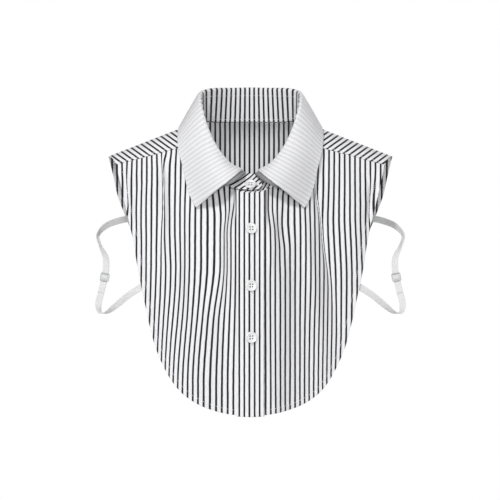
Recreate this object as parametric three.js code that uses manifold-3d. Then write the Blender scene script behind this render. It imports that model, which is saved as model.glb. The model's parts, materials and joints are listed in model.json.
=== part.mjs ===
// Bib collar: a false shirt front with a pointed collar, worn under a jumper.
// Two front halves buttoned under a placket, a one-piece yoke over the shoulders, a back panel,
// a collar stand with its turned-down fall, four buttons and two elastic side straps with sliders.
// Millimetres, +Z up, front towards -Y. The origin is the middle of the neck opening.
import * as THREE from "three";
import { mergeVertices } from "three/addons/utils/BufferGeometryUtils.js";
import Module from "manifold-3d";

// Body of the bib
const SHOULDER_HALF = 171.5; // centre line to the shoulder tip
const SHOULDER_DROP = 44.3; // side of the neck down to the shoulder tip
const FRONT_LENGTH = 356; // side of the neck down to the front hem
const BACK_LENGTH = 332; // side of the neck down to the back hem
const ARM_SET_IN = 9.5; // shoulder tip in to the armhole at the front yoke seam
const YOKE_FRONT_TIP = 12; // fall of the front yoke seam below the ridge, at the armhole
const YOKE_FRONT_NECK = 26; // the same, at the neck
const YOKE_BACK_DEPTH = 87; // side of the neck down to the back yoke seam
const CLOTH = 1.0; // shirt cloth with its turnings
const LAYER_GAP = 0.5; // between one layer of cloth and the next
const SEAM_GAP = 0.5; // from a panel's edge to the yoke's edge
const ARM_FRONT_HALF = SHOULDER_HALF - ARM_SET_IN;

// Wearer's form that the cloth takes
const NECK_HALF = 58; // centre line to the side of the neck opening
const NECK_RISE = 43.5; // origin up to the side of the neck opening
const NECK_FRONT_DROP = 86.5; // side of the neck down to the front neck seam
const NECK_BACK_REACH = 58; // shoulder ridge back to the back neck seam
const NECK_SQUARE = 2.5; // squareness of the front neck edge
const NAPE_SQUARE = 2.4; // squareness of the back neck edge
const RIDGE_DEPTH = 4; // shoulder ridge behind the origin
const FRONT_REACH = { centre: 68, tip: 27 }; // ridge forward to the cloth below it
const FRONT_ARCH_HEIGHT = { centre: 90, tip: 34 }; // height over which the front turns down
const BACK_REACH = { centre: 84, tip: 31 };
const BACK_ARCH_HEIGHT = { centre: 90, tip: 36 };
const FRONT_SQUARE = 2; // squareness of the turn over the shoulder
const BACK_SQUARE = 2.8;
const CHEST_DEPTH = 40; // how far the chest stands out below the neck
const BLADE_DEPTH = 12; // the same at the shoulder blades
const SWELL_LENGTH = 150; // height over which chest and back swell
const FLANK_LOSS = 0.6; // share of the swell that is lost at the shoulder tip
const HANG_LENGTH = 100; // drop per unit of turn below the arch

// Placket and buttons
const PLACKET_WIDTH = 33;
const PLACKET_CLOTH = 1.2;
const PLACKET_DROP = 1.5; // the placket's end hangs below the hem
const NECK_SEAM_RELIEF = 1.8; // the placket's top stops short of the collar stand
const RIGHT_EDGE = 14; // edge of the half that carries the placket
const UNDER_LAP = 12; // how far the other half runs under the placket
const BUTTON_RADIUS = 6.5;
const BUTTON_HEIGHT = 2.3;
const BUTTON_HOLE_RADIUS = 0.75;
const BUTTON_HOLE_PITCH = 3;
const BUTTON_SEAT = 0.4; // thread shank between button and cloth
const BUTTON_DROPS = [131.5, 200.5, 262.5]; // side of the neck down to each placket button
const NECK_BUTTON_SHARE = 0.3; // height of the neck button on the stand

// Collar
const STAND_HEIGHT = 30;
const STAND_CLOTH = 1.4;
const STAND_RISE = { front: 1.6, back: 3.1 }; // clearance of the stand's foot over the neck edge
const STAND_RISE_SWING = { from: 0.68, to: 0.95 }; // shares of the turn between which it changes
const STAND_END = { height: 0.62, width: 0.12 }; // upright part of the rounded ends, as shares
const STAND_OVER_LAP = 15; // the buttoned end runs past the centre line
const STAND_UNDER_LAP = 13;
const LAP_BLEND = 0.5; // radians of turn in which the buttoned end comes to the top
const COLLAR_CLOTH = 1.4;
const CREST_RISE = 6.5; // fold of the fall above the stand, at the back
const FOLD_RADIUS = 2.4;
const FOLD_LIMIT = 0.8; // largest share of the crest's rise that the radius may take
const FOLD_TURN = 0.9 * Math.PI;
const COLLAR_GAP = 12; // centre line to the fall's front corner
const COLLAR_SPREAD = 32; // outer edge of the fall outside the side of the neck
const COLLAR_DROP = 21; // point of the collar below the front neck seam
const LEAF_ROLL = 9.4; // how far the fall rolls out over the front of the stand
const LEAF_SKEW = 1.4; // how much nearer to the fold than to the edge the roll is
const LEAF_FACING = 0.6; // share of the turn from which the roll turns to face forward
const LEAF_LIFT = 3.4; // middle of the fall above the shirt at its outer edge

// Side straps
const STRAP_WIDTH = 8;
const STRAP_THICK = 0.8;
const STRAP_TOP = 118; // side of the neck down to the upper end
const STRAP_FOOT = 200; // side of the neck down to the lower end
const STRAP_REACH = 55; // outermost bend beyond the lower end
const STRAP_SEWN = 14; // length sewn behind the panel's edge
const STRAP_SEWN_EDGE = 2.8; // the back panel's edge to its nearer row of stitches
const STRAP_SLANT = 7.7; // rise of the lower end behind the front panel
const SLIDER_WIDTH = 11;
const SLIDER_HEIGHT = 10.6;
const SLIDER_THICK = 1.2;
const SLIDER_BAR = 1.2;
const SLIDER_GAP = 0.62; // strap to slider
const STRAP_GAP = 1; // strap to the cloth it is sewn behind
const TAIL_LENGTH = 12;

// Number of grid steps; those at the slider lie within a share of its height either side
const STEPS = {
  front: [22, 24], back: [16, 10], yoke: [32, 7], placket: [4, 24], stand: [44, 3], leaf: [44, 5],
  fold: 3, strap: 30, slider: 20, tail: 4, corner: 3, button: 14, hole: 6,
};
const SLIDER_STEPS_SHARE = 0.75;

// Where the grids turn their corners, as shares of an edge or of the panel's length
const FRONT_NECK_SHARE = 0.34;
const HEM_CORNER = { front: 0.83, back: 0.82 };
const YOKE_TIP_SHARE = 0.12;
const YOKE_BACK_SHARE = 0.3;
const YOKE_BACK_EASE = 1.6; // steps of the yoke's back edge crowd towards the shoulder

// Cloth sections across the shoulder: shares between the tip's size (0) and the centre's (1)
const SECTIONS = [
  { across: 0.0, reach: 1.0, arch: 1.0 },
  { across: 0.17, reach: 0.86, arch: 0.95 },
  { across: 0.34, reach: 0.47, arch: 0.79 },
  { across: 0.58, reach: 0.24, arch: 0.43 },
  { across: 1.0, reach: 0.0, arch: 0.0 },
];

// Armhole and hem below the front yoke seam: shares of ARM_FRONT_HALF and of front length
const FRONT_OUTLINE = [
  { across: 0.991, down: 0.24 },
  { across: 0.951, down: 0.307 },
  { across: 0.873, down: 0.413 },
  { across: 0.84, down: 0.494 },
  { across: 0.791, down: 0.603 },
  { across: 0.74, down: 0.709 },
  { across: 0.687, down: 0.79 },
  { across: 0.557, down: 0.9 },
  { across: 0.428, down: 0.953 },
  { across: 0.233, down: 0.988 },
  { across: 0.0, down: 1.0 },
];

// Armhole and hem of the back, from the shoulder tip: shares of half width and of back length
const BACK_OUTLINE = [
  { across: 0.975, down: 0.19 },
  { across: 0.938, down: 0.275 },
  { across: 0.898, down: 0.331 },
  { across: 0.81, down: 0.45 },
  { across: 0.735, down: 0.6 },
  { across: 0.655, down: 0.76 },
  { across: 0.5, down: 0.9 },
  { across: 0.25, down: 0.98 },
  { across: 0.0, down: 1.0 },
];

// Soft folds of the front: ends as shares of half width and front length, spread as a share of
// half width, rise in shares of FOLD_RISE; rise below 0 is a valley. Side -1 is the wearer's right.
const FOLD_RISE = 3.2;
const FOLD_FADE = 18; // length over which the folds grow below a seam
const FOLD_CLEAR = 11; // width beside the placket over which they die out
const FOLD_START = { before: 0.15, over: 0.45 }; // shares of a fold's length in which it grows
const FOLD_END = { after: 0.25, over: 0.55 }; // and in which it dies out
const FOLDS = [
  { side: -1, across: 0.45, down: 0.21, toAcross: 0.56, toDown: 0.45, spread: 0.075, rise: 0.6 },
  { side: -1, across: 0.35, down: 0.29, toAcross: 0.39, toDown: 0.7, spread: 0.06, rise: -1.0 },
  { side: -1, across: 0.26, down: 0.3, toAcross: 0.21, toDown: 0.5, spread: 0.04, rise: 0.5 },
  { side: -1, across: 0.16, down: 0.28, toAcross: 0.12, toDown: 0.46, spread: 0.03, rise: -0.5 },
  { side: -1, across: 0.62, down: 0.17, toAcross: 0.6, toDown: 0.36, spread: 0.03, rise: -0.9 },
  { side: -1, across: 0.79, down: 0.2, toAcross: 0.87, toDown: 0.31, spread: 0.04, rise: -0.7 },
  { side: -1, across: 0.7, down: 0.22, toAcross: 0.76, toDown: 0.38, spread: 0.045, rise: 0.5 },
  { side: 1, across: 0.17, down: 0.3, toAcross: 0.15, toDown: 0.44, spread: 0.045, rise: 0.4 },
  { side: 1, across: 0.26, down: 0.29, toAcross: 0.2, toDown: 0.5, spread: 0.05, rise: -0.4 },
  { side: 1, across: 0.4, down: 0.3, toAcross: 0.45, toDown: 0.64, spread: 0.06, rise: 0.7 },
  { side: 1, across: 0.5, down: 0.27, toAcross: 0.62, toDown: 0.72, spread: 0.085, rise: -1.0 },
  { side: 1, across: 0.51, down: 0.14, toAcross: 0.46, toDown: 0.3, spread: 0.03, rise: -0.7 },
  { side: 1, across: 0.7, down: 0.18, toAcross: 0.73, toDown: 0.5, spread: 0.06, rise: 0.5 },
  { side: 1, across: 0.86, down: 0.22, toAcross: 0.84, toDown: 0.34, spread: 0.03, rise: -0.8 },
];

// The stand by share of the turn from back to front: lean towards the neck in degrees, height in
// STAND_HEIGHT
const STAND = [
  { swing: 0.0, lean: 6, height: 1.03 },
  { swing: 0.25, lean: 4, height: 0.99 },
  { swing: 0.38, lean: 0, height: 0.92 },
  { swing: 0.5, lean: -2, height: 0.81 },
  { swing: 0.62, lean: -2, height: 0.76 },
  { swing: 0.75, lean: 6, height: 0.76 },
  { swing: 0.88, lean: 26, height: 0.82 },
  { swing: 1.0, lean: 44, height: 0.92 },
];

// The fall by share of its turn: outer edge in COLLAR_SPREAD beyond the neck edge and in
// COLLAR_DROP round the form (below 0 to the front), crest in CREST_RISE, roll in LEAF_ROLL
const FALL = [
  { swing: 0.0, out: 0.0, slide: 0.55, crest: 1.0, roll: 0.12 },
  { swing: 0.27, out: 0.5, slide: 0.5, crest: 1.0, roll: 0.1 },
  { swing: 0.45, out: 0.74, slide: 0.3, crest: 0.85, roll: 0.08 },
  { swing: 0.54, out: 0.84, slide: 0.1, crest: 0.6, roll: 0.08 },
  { swing: 0.63, out: 0.98, slide: 0.2, crest: 0.5, roll: 0.15 },
  { swing: 0.72, out: 1.1, slide: 0.2, crest: 0.5, roll: 0.3 },
  { swing: 0.81, out: 1.2, slide: 0.0, crest: 0.5, roll: 0.6 },
  { swing: 0.9, out: 1.39, slide: -0.48, crest: 0.5, roll: 0.9 },
  { swing: 1.0, out: 1.63, slide: -1.0, crest: 0.35, roll: 1.0 },
];

// A button's section from the middle of its back over the raised rim, in its radius and height
const BUTTON_PROFILE = [
  { radius: 0.0, height: 0.0 },
  { radius: 0.8, height: 0.0 },
  { radius: 1.0, height: 0.35 },
  { radius: 1.0, height: 0.75 },
  { radius: 0.88, height: 1.0 },
  { radius: 0.74, height: 0.94 },
  { radius: 0.6, height: 0.62 },
  { radius: 0.0, height: 0.58 },
];

// A side strap from the back panel to the front panel: shares of STRAP_REACH outward from the
// lower end and of the ends' height difference downward, share of the depth between the ends,
// and roll of the flat band about its own length in degrees
const STRAP = [
  { out: 0.6, down: 0.045, deep: 0.1, roll: 15 },
  { out: 0.84, down: 0.12, deep: 0.22, roll: 30 },
  { out: 0.99, down: 0.25, deep: 0.33, roll: 62 },
  { out: 0.92, down: 0.42, deep: 0.42, roll: 60 },
  { out: 0.82, down: 0.56, deep: 0.48, roll: 28 },
  { out: 0.8, down: 0.7, deep: 0.53, roll: 4 },
  { out: 0.83, down: 0.87, deep: 0.58, roll: 0 },
  { out: 0.9, down: 1.07, deep: 0.64, roll: 0 },
  { out: 0.965, down: 1.27, deep: 0.7, roll: 12 },
  { out: 0.93, down: 1.385, deep: 0.74, roll: 62 },
  { out: 0.8, down: 1.39, deep: 0.79, roll: 112 },
  { out: 0.59, down: 1.29, deep: 0.86, roll: 155 },
  { out: 0.3, down: 1.13, deep: 0.94, roll: 172 },
];
const SLIDER_ROW = 6; // the slider sits on this row

const FRONT = -1;
const BACK = 1;
const HALF_TURN = Math.PI / 2;
const UP = new THREE.Vector3(0, 0, 1);
const TO_VIEWER = new THREE.Vector3(0, -1, 0);

const wasm = await Module();
wasm.setup();

const mix = (a, b, t) => a + (b - a) * t;
const clamp = (t) => Math.min(1, Math.max(0, t));
const smooth = (t) => clamp(t) ** 2 * (3 - 2 * clamp(t));

// A column of a table at a value of its first column, on a smooth curve through the rows
function column(rows, by, key, value) {
  const last = rows.length - 1;
  let i = 0;
  while (i < last - 1 && value > rows[i + 1][by]) i++;
  const slope = (k) => {
    const [a, b] = [rows[Math.max(0, k - 1)], rows[Math.min(last, k + 1)]];
    return (b[key] - a[key]) / (b[by] - a[by]);
  };
  const span = rows[i + 1][by] - rows[i][by];
  const t = clamp((value - rows[i][by]) / span);
  const [t2, t3] = [t * t, t * t * t];
  return (
    (2 * t3 - 3 * t2 + 1) * rows[i][key] + (t3 - 2 * t2 + t) * span * slope(i) +
    (3 * t2 - 2 * t3) * rows[i + 1][key] + (t3 - t2) * span * slope(i + 1)
  );
}

// The value in [low, high] where a rising function passes zero
function solve(rising, low, high) {
  for (let i = 0; i < 50; i++) {
    const middle = (low + high) / 2;
    if (rising(middle) < 0) low = middle;
    else high = middle;
  }
  return (low + high) / 2;
}

// Height of the shoulder ridge; it levels off inside the neck
function ridge(x) {
  const a = Math.abs(x);
  const slope = SHOULDER_DROP / (SHOULDER_HALF - NECK_HALF);
  if (a >= NECK_HALF) return NECK_RISE - slope * (a - NECK_HALF);
  const inside = NECK_HALF - a;
  return NECK_RISE + slope * (inside - inside ** 2 / (2 * NECK_HALF));
}

// Reach, arch height and squareness of the cloth section at x on one side
function section(x, side) {
  const across = Math.abs(x) / SHOULDER_HALF;
  const [reach, arch] = side === FRONT ? [FRONT_REACH, FRONT_ARCH_HEIGHT] : [BACK_REACH, BACK_ARCH_HEIGHT];
  return {
    reach: mix(reach.tip, reach.centre, column(SECTIONS, "across", "reach", across)),
    arch: mix(arch.tip, arch.centre, column(SECTIONS, "across", "arch", across)),
    square: side === FRONT ? FRONT_SQUARE : BACK_SQUARE,
  };
}

// A point of the form: turn 0 is the shoulder ridge, -1 and 1 the end of the arch at front and back
function formPoint(x, turn) {
  const side = turn < 0 ? FRONT : BACK;
  const { reach, arch, square } = section(x, side);
  const angle = Math.min(Math.abs(turn), 1) * HALF_TURN;
  const hang = Math.max(Math.abs(turn) - 1, 0) * HANG_LENGTH;
  const drop = arch * (1 - Math.cos(angle) ** (2 / square)) + hang;
  const swell = side === FRONT ? CHEST_DEPTH : BLADE_DEPTH;
  const flank = 1 - FLANK_LOSS * (x / SHOULDER_HALF) ** 2;
  const out = reach * Math.sin(angle) ** (2 / square) +
    swell * flank * smooth((drop - arch / 2) / SWELL_LENGTH);
  return new THREE.Vector3(x, RIDGE_DEPTH + side * out, ridge(x) - drop);
}

// The turn at which one side of the form at x is at height z
function turnAt(side, x, z) {
  const { arch, square } = section(x, side);
  const drop = Math.max(ridge(x) - z, 0);
  if (drop >= arch) return side * (1 + (drop - arch) / HANG_LENGTH);
  return (side * Math.acos((1 - drop / arch) ** (square / 2))) / HALF_TURN;
}

function formNormal(x, turn) {
  const step = 0.01;
  const alongX = formPoint(x + step * HANG_LENGTH, turn).sub(formPoint(x - step * HANG_LENGTH, turn));
  const alongTurn = formPoint(x, turn + step).sub(formPoint(x, turn - step));
  return alongX.cross(alongTurn).normalize();
}

const onForm = (x, turn, lift) => formPoint(x, turn).addScaledVector(formNormal(x, turn), lift);

// Height of the soft folds at a place of the front
function foldLift(x, z) {
  let lift = 0;
  for (const fold of FOLDS) {
    const from = [fold.side * fold.across * SHOULDER_HALF, NECK_RISE - fold.down * FRONT_LENGTH];
    const to = [fold.side * fold.toAcross * SHOULDER_HALF, NECK_RISE - fold.toDown * FRONT_LENGTH];
    const [dx, dz] = [to[0] - from[0], to[1] - from[1]];
    const length = Math.hypot(dx, dz);
    const along = ((x - from[0]) * dx + (z - from[1]) * dz) / length ** 2;
    const aside = ((x - from[0]) * dz - (z - from[1]) * dx) / length;
    const fade = smooth((along + FOLD_START.before) / FOLD_START.over) *
      smooth((1 + FOLD_END.after - along) / FOLD_END.over);
    lift += FOLD_RISE * fold.rise * fade * Math.exp(-((aside / (fold.spread * SHOULDER_HALF)) ** 2));
  }
  const offPlacket = smooth((Math.abs(x) - PLACKET_WIDTH / 2) / FOLD_CLEAR);
  const offYoke = smooth((ridge(x) - z - yokeSeamDrop(x)) / FOLD_FADE);
  return lift * offPlacket * offYoke;
}

function yokeSeamDrop(x) {
  const share = (SHOULDER_HALF - Math.abs(x)) / (SHOULDER_HALF - NECK_HALF);
  return mix(YOKE_FRONT_TIP, YOKE_FRONT_NECK, clamp(share));
}

// The neck edge by angle: 0 at the back, PI at the front, the wearer's left for 0 to PI
function neckEdge(angle) {
  const [across, toFront] = [Math.sin(angle), -Math.cos(angle)];
  const power = 2 / (toFront > 0 ? NECK_SQUARE : NAPE_SQUARE);
  const x = NECK_HALF * Math.sign(across) * Math.abs(across) ** power;
  if (toFront > 0) return { x, turn: turnAt(FRONT, 0, NECK_RISE - NECK_FRONT_DROP) * toFront ** power };
  const { reach, square } = section(0, BACK);
  const back = Math.asin((NECK_BACK_REACH / reach) ** (square / 2)) / HALF_TURN;
  return { x, turn: back * (-toFront) ** power };
}

// Neck angle at which the neck edge meets a line below the yoke seam
function neckAngleAtSeam(below) {
  return solve((angle) => {
    const { x, turn } = neckEdge(angle);
    return ridge(x) - formPoint(x, turn).z - (yokeSeamDrop(x) + below);
  }, HALF_TURN, Math.PI);
}

// Neck angle in front at which the neck edge is at x
function neckAngleOf(x) {
  return Math.PI - Math.asin(Math.sign(x) * (Math.abs(x) / NECK_HALF) ** (NECK_SQUARE / 2));
}

// A smooth outline from its top corner through rows of shares, mirrored about the centre line
function outline(half, z, rows, length) {
  const right = [
    [half, z],
    ...rows.map(({ across, down }) => [across * half, NECK_RISE - down * length]),
  ].map(([x, height]) => new THREE.Vector3(x, 0, height));
  const left = right.slice(0, -1).reverse().map((p) => new THREE.Vector3(-p.x, 0, p.z));
  return new THREE.CatmullRomCurve3([...right, ...left], false, "centripetal");
}

// Share of the outline's length at which it comes in to x, or down to z
const outlineAtX = (curve, x) => solve((t) => x - curve.getPointAt(t).x, 0, 1);
const outlineAtZ = (curve, z) => solve((t) => z - curve.getPointAt(t).z, 0, 0.5);

const seamZ = (x, below) => ridge(x) - yokeSeamDrop(x) - below;
const frontOutline = outline(
  ARM_FRONT_HALF, seamZ(ARM_FRONT_HALF, SEAM_GAP), FRONT_OUTLINE, FRONT_LENGTH,
);
const backOutline = outline(SHOULDER_HALF, ridge(SHOULDER_HALF), BACK_OUTLINE, BACK_LENGTH);
const backHalfWidth = (z) => backOutline.getPointAt(outlineAtZ(backOutline, z)).x;
const frontHalfWidth = (z) => frontOutline.getPointAt(outlineAtZ(frontOutline, z)).x;

// A four-sided patch between its top, foot and two side curves, each of pairs [a, b]
function patch(top, foot, left, right) {
  const corners = [top(0), top(1), foot(0), foot(1)];
  return (u, v) => [0, 1].map((k) =>
    mix(top(u)[k], foot(u)[k], v) + mix(left(v)[k], right(v)[k], u) -
    mix(mix(corners[0][k], corners[1][k], u), mix(corners[2][k], corners[3][k], u), v));
}

const evenly = (steps) => Array.from({ length: steps + 1 }, (_, i) => i / steps);

// A wall of cloth: the surface at(u, v) on a grid, thickened from low to high along its normal
function wall(at, [us, vs], low, high) {
  const grid = us.map((u) => vs.map((v) => at(u, v)));
  const [nu, nv] = [us.length, vs.length];
  const normal = (i, j) => {
    const du = grid[Math.min(i + 1, nu - 1)][j].clone().sub(grid[Math.max(i - 1, 0)][j]);
    const dv = grid[i][Math.min(j + 1, nv - 1)].clone().sub(grid[i][Math.max(j - 1, 0)]);
    return du.cross(dv).normalize();
  };
  const points = [];
  for (const lift of [low, high])
    grid.forEach((line, i) => line.forEach((p, j) => {
      points.push(p.clone().addScaledVector(normal(i, j), lift));
    }));
  const index = (i, j, layer) => layer * nu * nv + i * nv + j;
  const faces = [];
  const quad = (a, b, c, d) => faces.push(a, b, c, a, c, d);
  for (let i = 0; i < nu - 1; i++)
    for (let j = 0; j < nv - 1; j++) {
      quad(index(i, j, 1), index(i + 1, j, 1), index(i + 1, j + 1, 1), index(i, j + 1, 1));
      quad(index(i, j, 0), index(i, j + 1, 0), index(i + 1, j + 1, 0), index(i + 1, j, 0));
    }
  for (let i = 0; i < nu - 1; i++) {
    quad(index(i, 0, 0), index(i + 1, 0, 0), index(i + 1, 0, 1), index(i, 0, 1));
    quad(index(i, nv - 1, 1), index(i + 1, nv - 1, 1), index(i + 1, nv - 1, 0), index(i, nv - 1, 0));
  }
  for (let j = 0; j < nv - 1; j++) {
    quad(index(0, j, 1), index(0, j + 1, 1), index(0, j + 1, 0), index(0, j, 0));
    quad(index(nu - 1, j, 0), index(nu - 1, j + 1, 0), index(nu - 1, j + 1, 1), index(nu - 1, j, 1));
  }
  return facingOut(new THREE.BufferGeometry().setFromPoints(points).setIndex(faces));
}

// Turns every face round if the closed surface is inside out
function facingOut(geometry) {
  const [a, b, c] = [new THREE.Vector3(), new THREE.Vector3(), new THREE.Vector3()];
  const { position } = geometry.attributes;
  const order = geometry.index.array;
  let volume = 0;
  for (let i = 0; i < order.length; i += 3) {
    a.fromBufferAttribute(position, order[i]);
    b.fromBufferAttribute(position, order[i + 1]);
    c.fromBufferAttribute(position, order[i + 2]);
    volume += a.dot(b.cross(c));
  }
  if (volume < 0)
    for (let i = 0; i < order.length; i += 3)
      [order[i + 1], order[i + 2]] = [order[i + 2], order[i + 1]];
  geometry.computeVertexNormals();
  return geometry;
}

// One half of the front; inner is its edge from the centre line, below 0 past the centre
function frontPanel(side, inner) {
  const start = neckAngleOf(inner);
  const end = neckAngleAtSeam(SEAM_GAP);
  const neckX = neckEdge(end).x;
  const corner = frontOutline.getPointAt(0);
  const hemCorner = outlineAtZ(frontOutline, NECK_RISE - FRONT_LENGTH * HEM_CORNER.front);
  const hemEnd = outlineAtX(frontOutline, inner);
  const top = (u) => {
    if (u < FRONT_NECK_SHARE) {
      const { x, turn } = neckEdge(mix(start, end, u / FRONT_NECK_SHARE));
      return [x, formPoint(x, turn).z];
    }
    const x = mix(neckX, corner.x, (u - FRONT_NECK_SHARE) / (1 - FRONT_NECK_SHARE));
    return [x, seamZ(x, SEAM_GAP)];
  };
  const place = (t) => [frontOutline.getPointAt(t).x, frontOutline.getPointAt(t).z];
  const foot = (u) => place(mix(hemEnd, hemCorner, u));
  const left = (v) => [inner, mix(top(0)[1], foot(0)[1], v)];
  const right = (v) => place(hemCorner * v);
  const flat = patch(top, foot, left, right);
  const at = (u, v) => {
    const [x, z] = flat(u, v);
    return onForm(side * x, turnAt(FRONT, x, z), foldLift(side * x, z));
  };
  // On the mirrored side the grid runs the other way, so that lifts stay outward
  const outward = side > 0 ? (u, v) => at(u, 1 - v) : at;
  return wall(outward, STEPS.front.map(evenly), -CLOTH, 0);
}

// The strip that carries the buttonholes, over the meeting of the two halves
function placket() {
  const neckZ = (x) => {
    const { turn } = neckEdge(neckAngleOf(x));
    return formPoint(x, turn).z - NECK_SEAM_RELIEF;
  };
  const at = (u, v) => {
    const x = mix(-PLACKET_WIDTH / 2, PLACKET_WIDTH / 2, u);
    const hem = frontOutline.getPointAt(outlineAtX(frontOutline, Math.abs(x))).z - PLACKET_DROP;
    return onForm(x, turnAt(FRONT, x, mix(neckZ(x), hem, 1 - v)), 0);
  };
  return wall(at, STEPS.placket.map(evenly), LAYER_GAP, LAYER_GAP + PLACKET_CLOTH);
}

// One piece over both shoulders and the upper back, open at the front of the neck
function yoke() {
  const seamAngle = neckAngleAtSeam(0);
  const seamTurn = (x) => turnAt(FRONT, x, seamZ(x, 0));
  const backZ = NECK_RISE - YOKE_BACK_DEPTH;
  const outer = (u) => {
    const side = u < 0.5 ? -1 : 1;
    const t = Math.min(u, 1 - u);
    if (t < YOKE_TIP_SHARE) {
      const share = t / YOKE_TIP_SHARE;
      const x = mix(ARM_FRONT_HALF, SHOULDER_HALF, share);
      return [side * x, mix(seamTurn(ARM_FRONT_HALF), 0, share)];
    }
    const share = clamp((t - YOKE_TIP_SHARE) / (YOKE_BACK_SHARE - YOKE_TIP_SHARE));
    const z = mix(ridge(SHOULDER_HALF), backZ, share ** YOKE_BACK_EASE);
    const edge = share > 0 ? backHalfWidth(z) : SHOULDER_HALF;
    const x = t < YOKE_BACK_SHARE ? edge : (edge * (0.5 - t)) / (0.5 - YOKE_BACK_SHARE);
    return [side * x, turnAt(BACK, x, z)];
  };
  const neck = (u) => {
    const { x, turn } = neckEdge(mix(-seamAngle, seamAngle, u));
    return [x, turn];
  };
  const seam = (side) => (v) => {
    const x = mix(neckEdge(seamAngle).x, ARM_FRONT_HALF, v);
    return [side * x, seamTurn(x)];
  };
  const flat = patch(neck, outer, seam(-1), seam(1));
  const at = (u, v) => onForm(...flat(u, v), 0);
  return wall(at, STEPS.yoke.map(evenly), LAYER_GAP, LAYER_GAP + CLOTH);
}

// The back below the yoke
function backPanel() {
  const topZ = NECK_RISE - YOKE_BACK_DEPTH - SEAM_GAP;
  const topShare = outlineAtZ(backOutline, topZ);
  const corner = outlineAtZ(backOutline, NECK_RISE - BACK_LENGTH * HEM_CORNER.back);
  const place = (t) => [backOutline.getPointAt(t).x, backOutline.getPointAt(t).z];
  const top = (u) => [mix(-1, 1, u) * place(topShare)[0], topZ];
  const foot = (u) => place(mix(1 - corner, corner, u));
  const right = (v) => place(mix(topShare, corner, v));
  const left = (v) => [-right(v)[0], right(v)[1]];
  const flat = patch(top, foot, left, right);
  const at = (u, v) => {
    const [x, z] = flat(u, v);
    return onForm(x, turnAt(BACK, x, z), 0);
  };
  return wall(at, STEPS.back.map(evenly), -CLOTH, 0);
}

// Foot, up direction and outward direction of the stand at a neck angle
function standFrame(angle) {
  const { x, turn } = neckEdge(angle);
  const foot = formPoint(x, turn);
  const step = 0.01;
  const [before, after] = [neckEdge(angle - step), neckEdge(angle + step)];
  const along = formPoint(after.x, after.turn).sub(formPoint(before.x, before.turn)).normalize();
  const swing = Math.min(Math.abs(angle) / Math.PI, 1);
  const lean = THREE.MathUtils.degToRad(column(STAND, "swing", "lean", swing));
  const height = STAND_HEIGHT * column(STAND, "swing", "height", swing);
  const inward = new THREE.Vector3(-foot.x, RIDGE_DEPTH - foot.y, 0).normalize();
  const up = UP.clone().multiplyScalar(Math.cos(lean)).addScaledVector(inward, Math.sin(lean));
  const out = up.clone().cross(along).normalize();
  const { from, to } = STAND_RISE_SWING;
  const rise = mix(STAND_RISE.back, STAND_RISE.front, smooth((swing - from) / (to - from)));
  return { foot: foot.addScaledVector(up, rise), up, out, height };
}

// How far the stand's buttoned end lies outside the other end
function lapLift(angle) {
  const share = smooth((Math.abs(angle) - (Math.PI - LAP_BLEND)) / LAP_BLEND);
  return (angle < 0 ? 1 : 0) * share * (STAND_CLOTH + LAYER_GAP);
}

// Middle of the stand's cloth at a share of its height, or a gap above it
function standPoint(angle, share, above = 0) {
  const { foot, up, out, height } = standFrame(angle);
  return foot.addScaledVector(up, height * share + above).addScaledVector(out, lapLift(angle));
}

// The band round the neck; its two ends lie over each other and their top corners are rounded
function collarStand() {
  const [from, to] = [-neckAngleOf(-STAND_OVER_LAP), neckAngleOf(-STAND_UNDER_LAP)];
  const at = (u, v) => {
    const angle = mix(from, to, u);
    const fromEnd = (Math.min(angle - from, to - angle) * NECK_HALF) / (STAND_HEIGHT / 2);
    const corner = Math.sqrt(1 - (1 - clamp(fromEnd + STAND_END.width)) ** 2);
    return standPoint(angle, v * mix(STAND_END.height, 1, corner));
  };
  return wall(at, STEPS.stand.map(evenly), -STAND_CLOTH / 2, STAND_CLOTH / 2);
}

const fallEnd = neckAngleOf(COLLAR_GAP);
const leafPeak = LEAF_SKEW ** LEAF_SKEW / (1 + LEAF_SKEW) ** (1 + LEAF_SKEW);

// The fall's section at a neck angle: up from the stand, round the fold and out over the shirt
function fallSection(angle) {
  const swing = Math.abs(angle) / fallEnd;
  const value = (key) => column(FALL, "swing", key, swing);
  const { up, out } = standFrame(angle);
  const rise = CREST_RISE * value("crest");
  const radius = Math.min(FOLD_RADIUS, rise * FOLD_LIMIT);
  const seat = standPoint(angle, 1, 2 * LAYER_GAP);
  const bend = seat.clone().addScaledVector(up, rise - radius).addScaledVector(out, radius);
  const round = (turn) => bend.clone()
    .addScaledVector(up, radius * Math.sin(turn))
    .addScaledVector(out, -radius * Math.cos(turn));
  const start = round(FOLD_TURN);
  const neck = neckEdge(angle);
  const x = neck.x + Math.sign(angle) * value("out") * COLLAR_SPREAD;
  const edge = onForm(x, neck.turn + (value("slide") * COLLAR_DROP) / HANG_LENGTH, LEAF_LIFT);
  const facing = smooth((swing - LEAF_FACING) / (1 - LEAF_FACING));
  const roll = out.clone().lerp(TO_VIEWER, facing).normalize();
  const bulge = (t) => (t * (1 - t) ** LEAF_SKEW) / leafPeak;
  const leaf = (t) => start.clone().lerp(edge, t)
    .addScaledVector(roll, LEAF_ROLL * value("roll") * bulge(t));
  return { seat, round, leaf };
}

function collarFall() {
  const foldSteps = STEPS.fold + 1;
  const vs = evenly(foldSteps + STEPS.leaf[1]);
  const bendShare = foldSteps / (foldSteps + STEPS.leaf[1]);
  const at = (u, v) => {
    const { seat, round, leaf } = fallSection(mix(-fallEnd, fallEnd, u));
    if (v === 0) return seat;
    if (v < bendShare) return round((((v / bendShare) * foldSteps - 1) / STEPS.fold) * FOLD_TURN);
    return leaf((v - bendShare) / (1 - bendShare));
  };
  return wall(at, [evenly(STEPS.leaf[0]), vs], -COLLAR_CLOTH / 2, COLLAR_CLOTH / 2);
}

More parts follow.
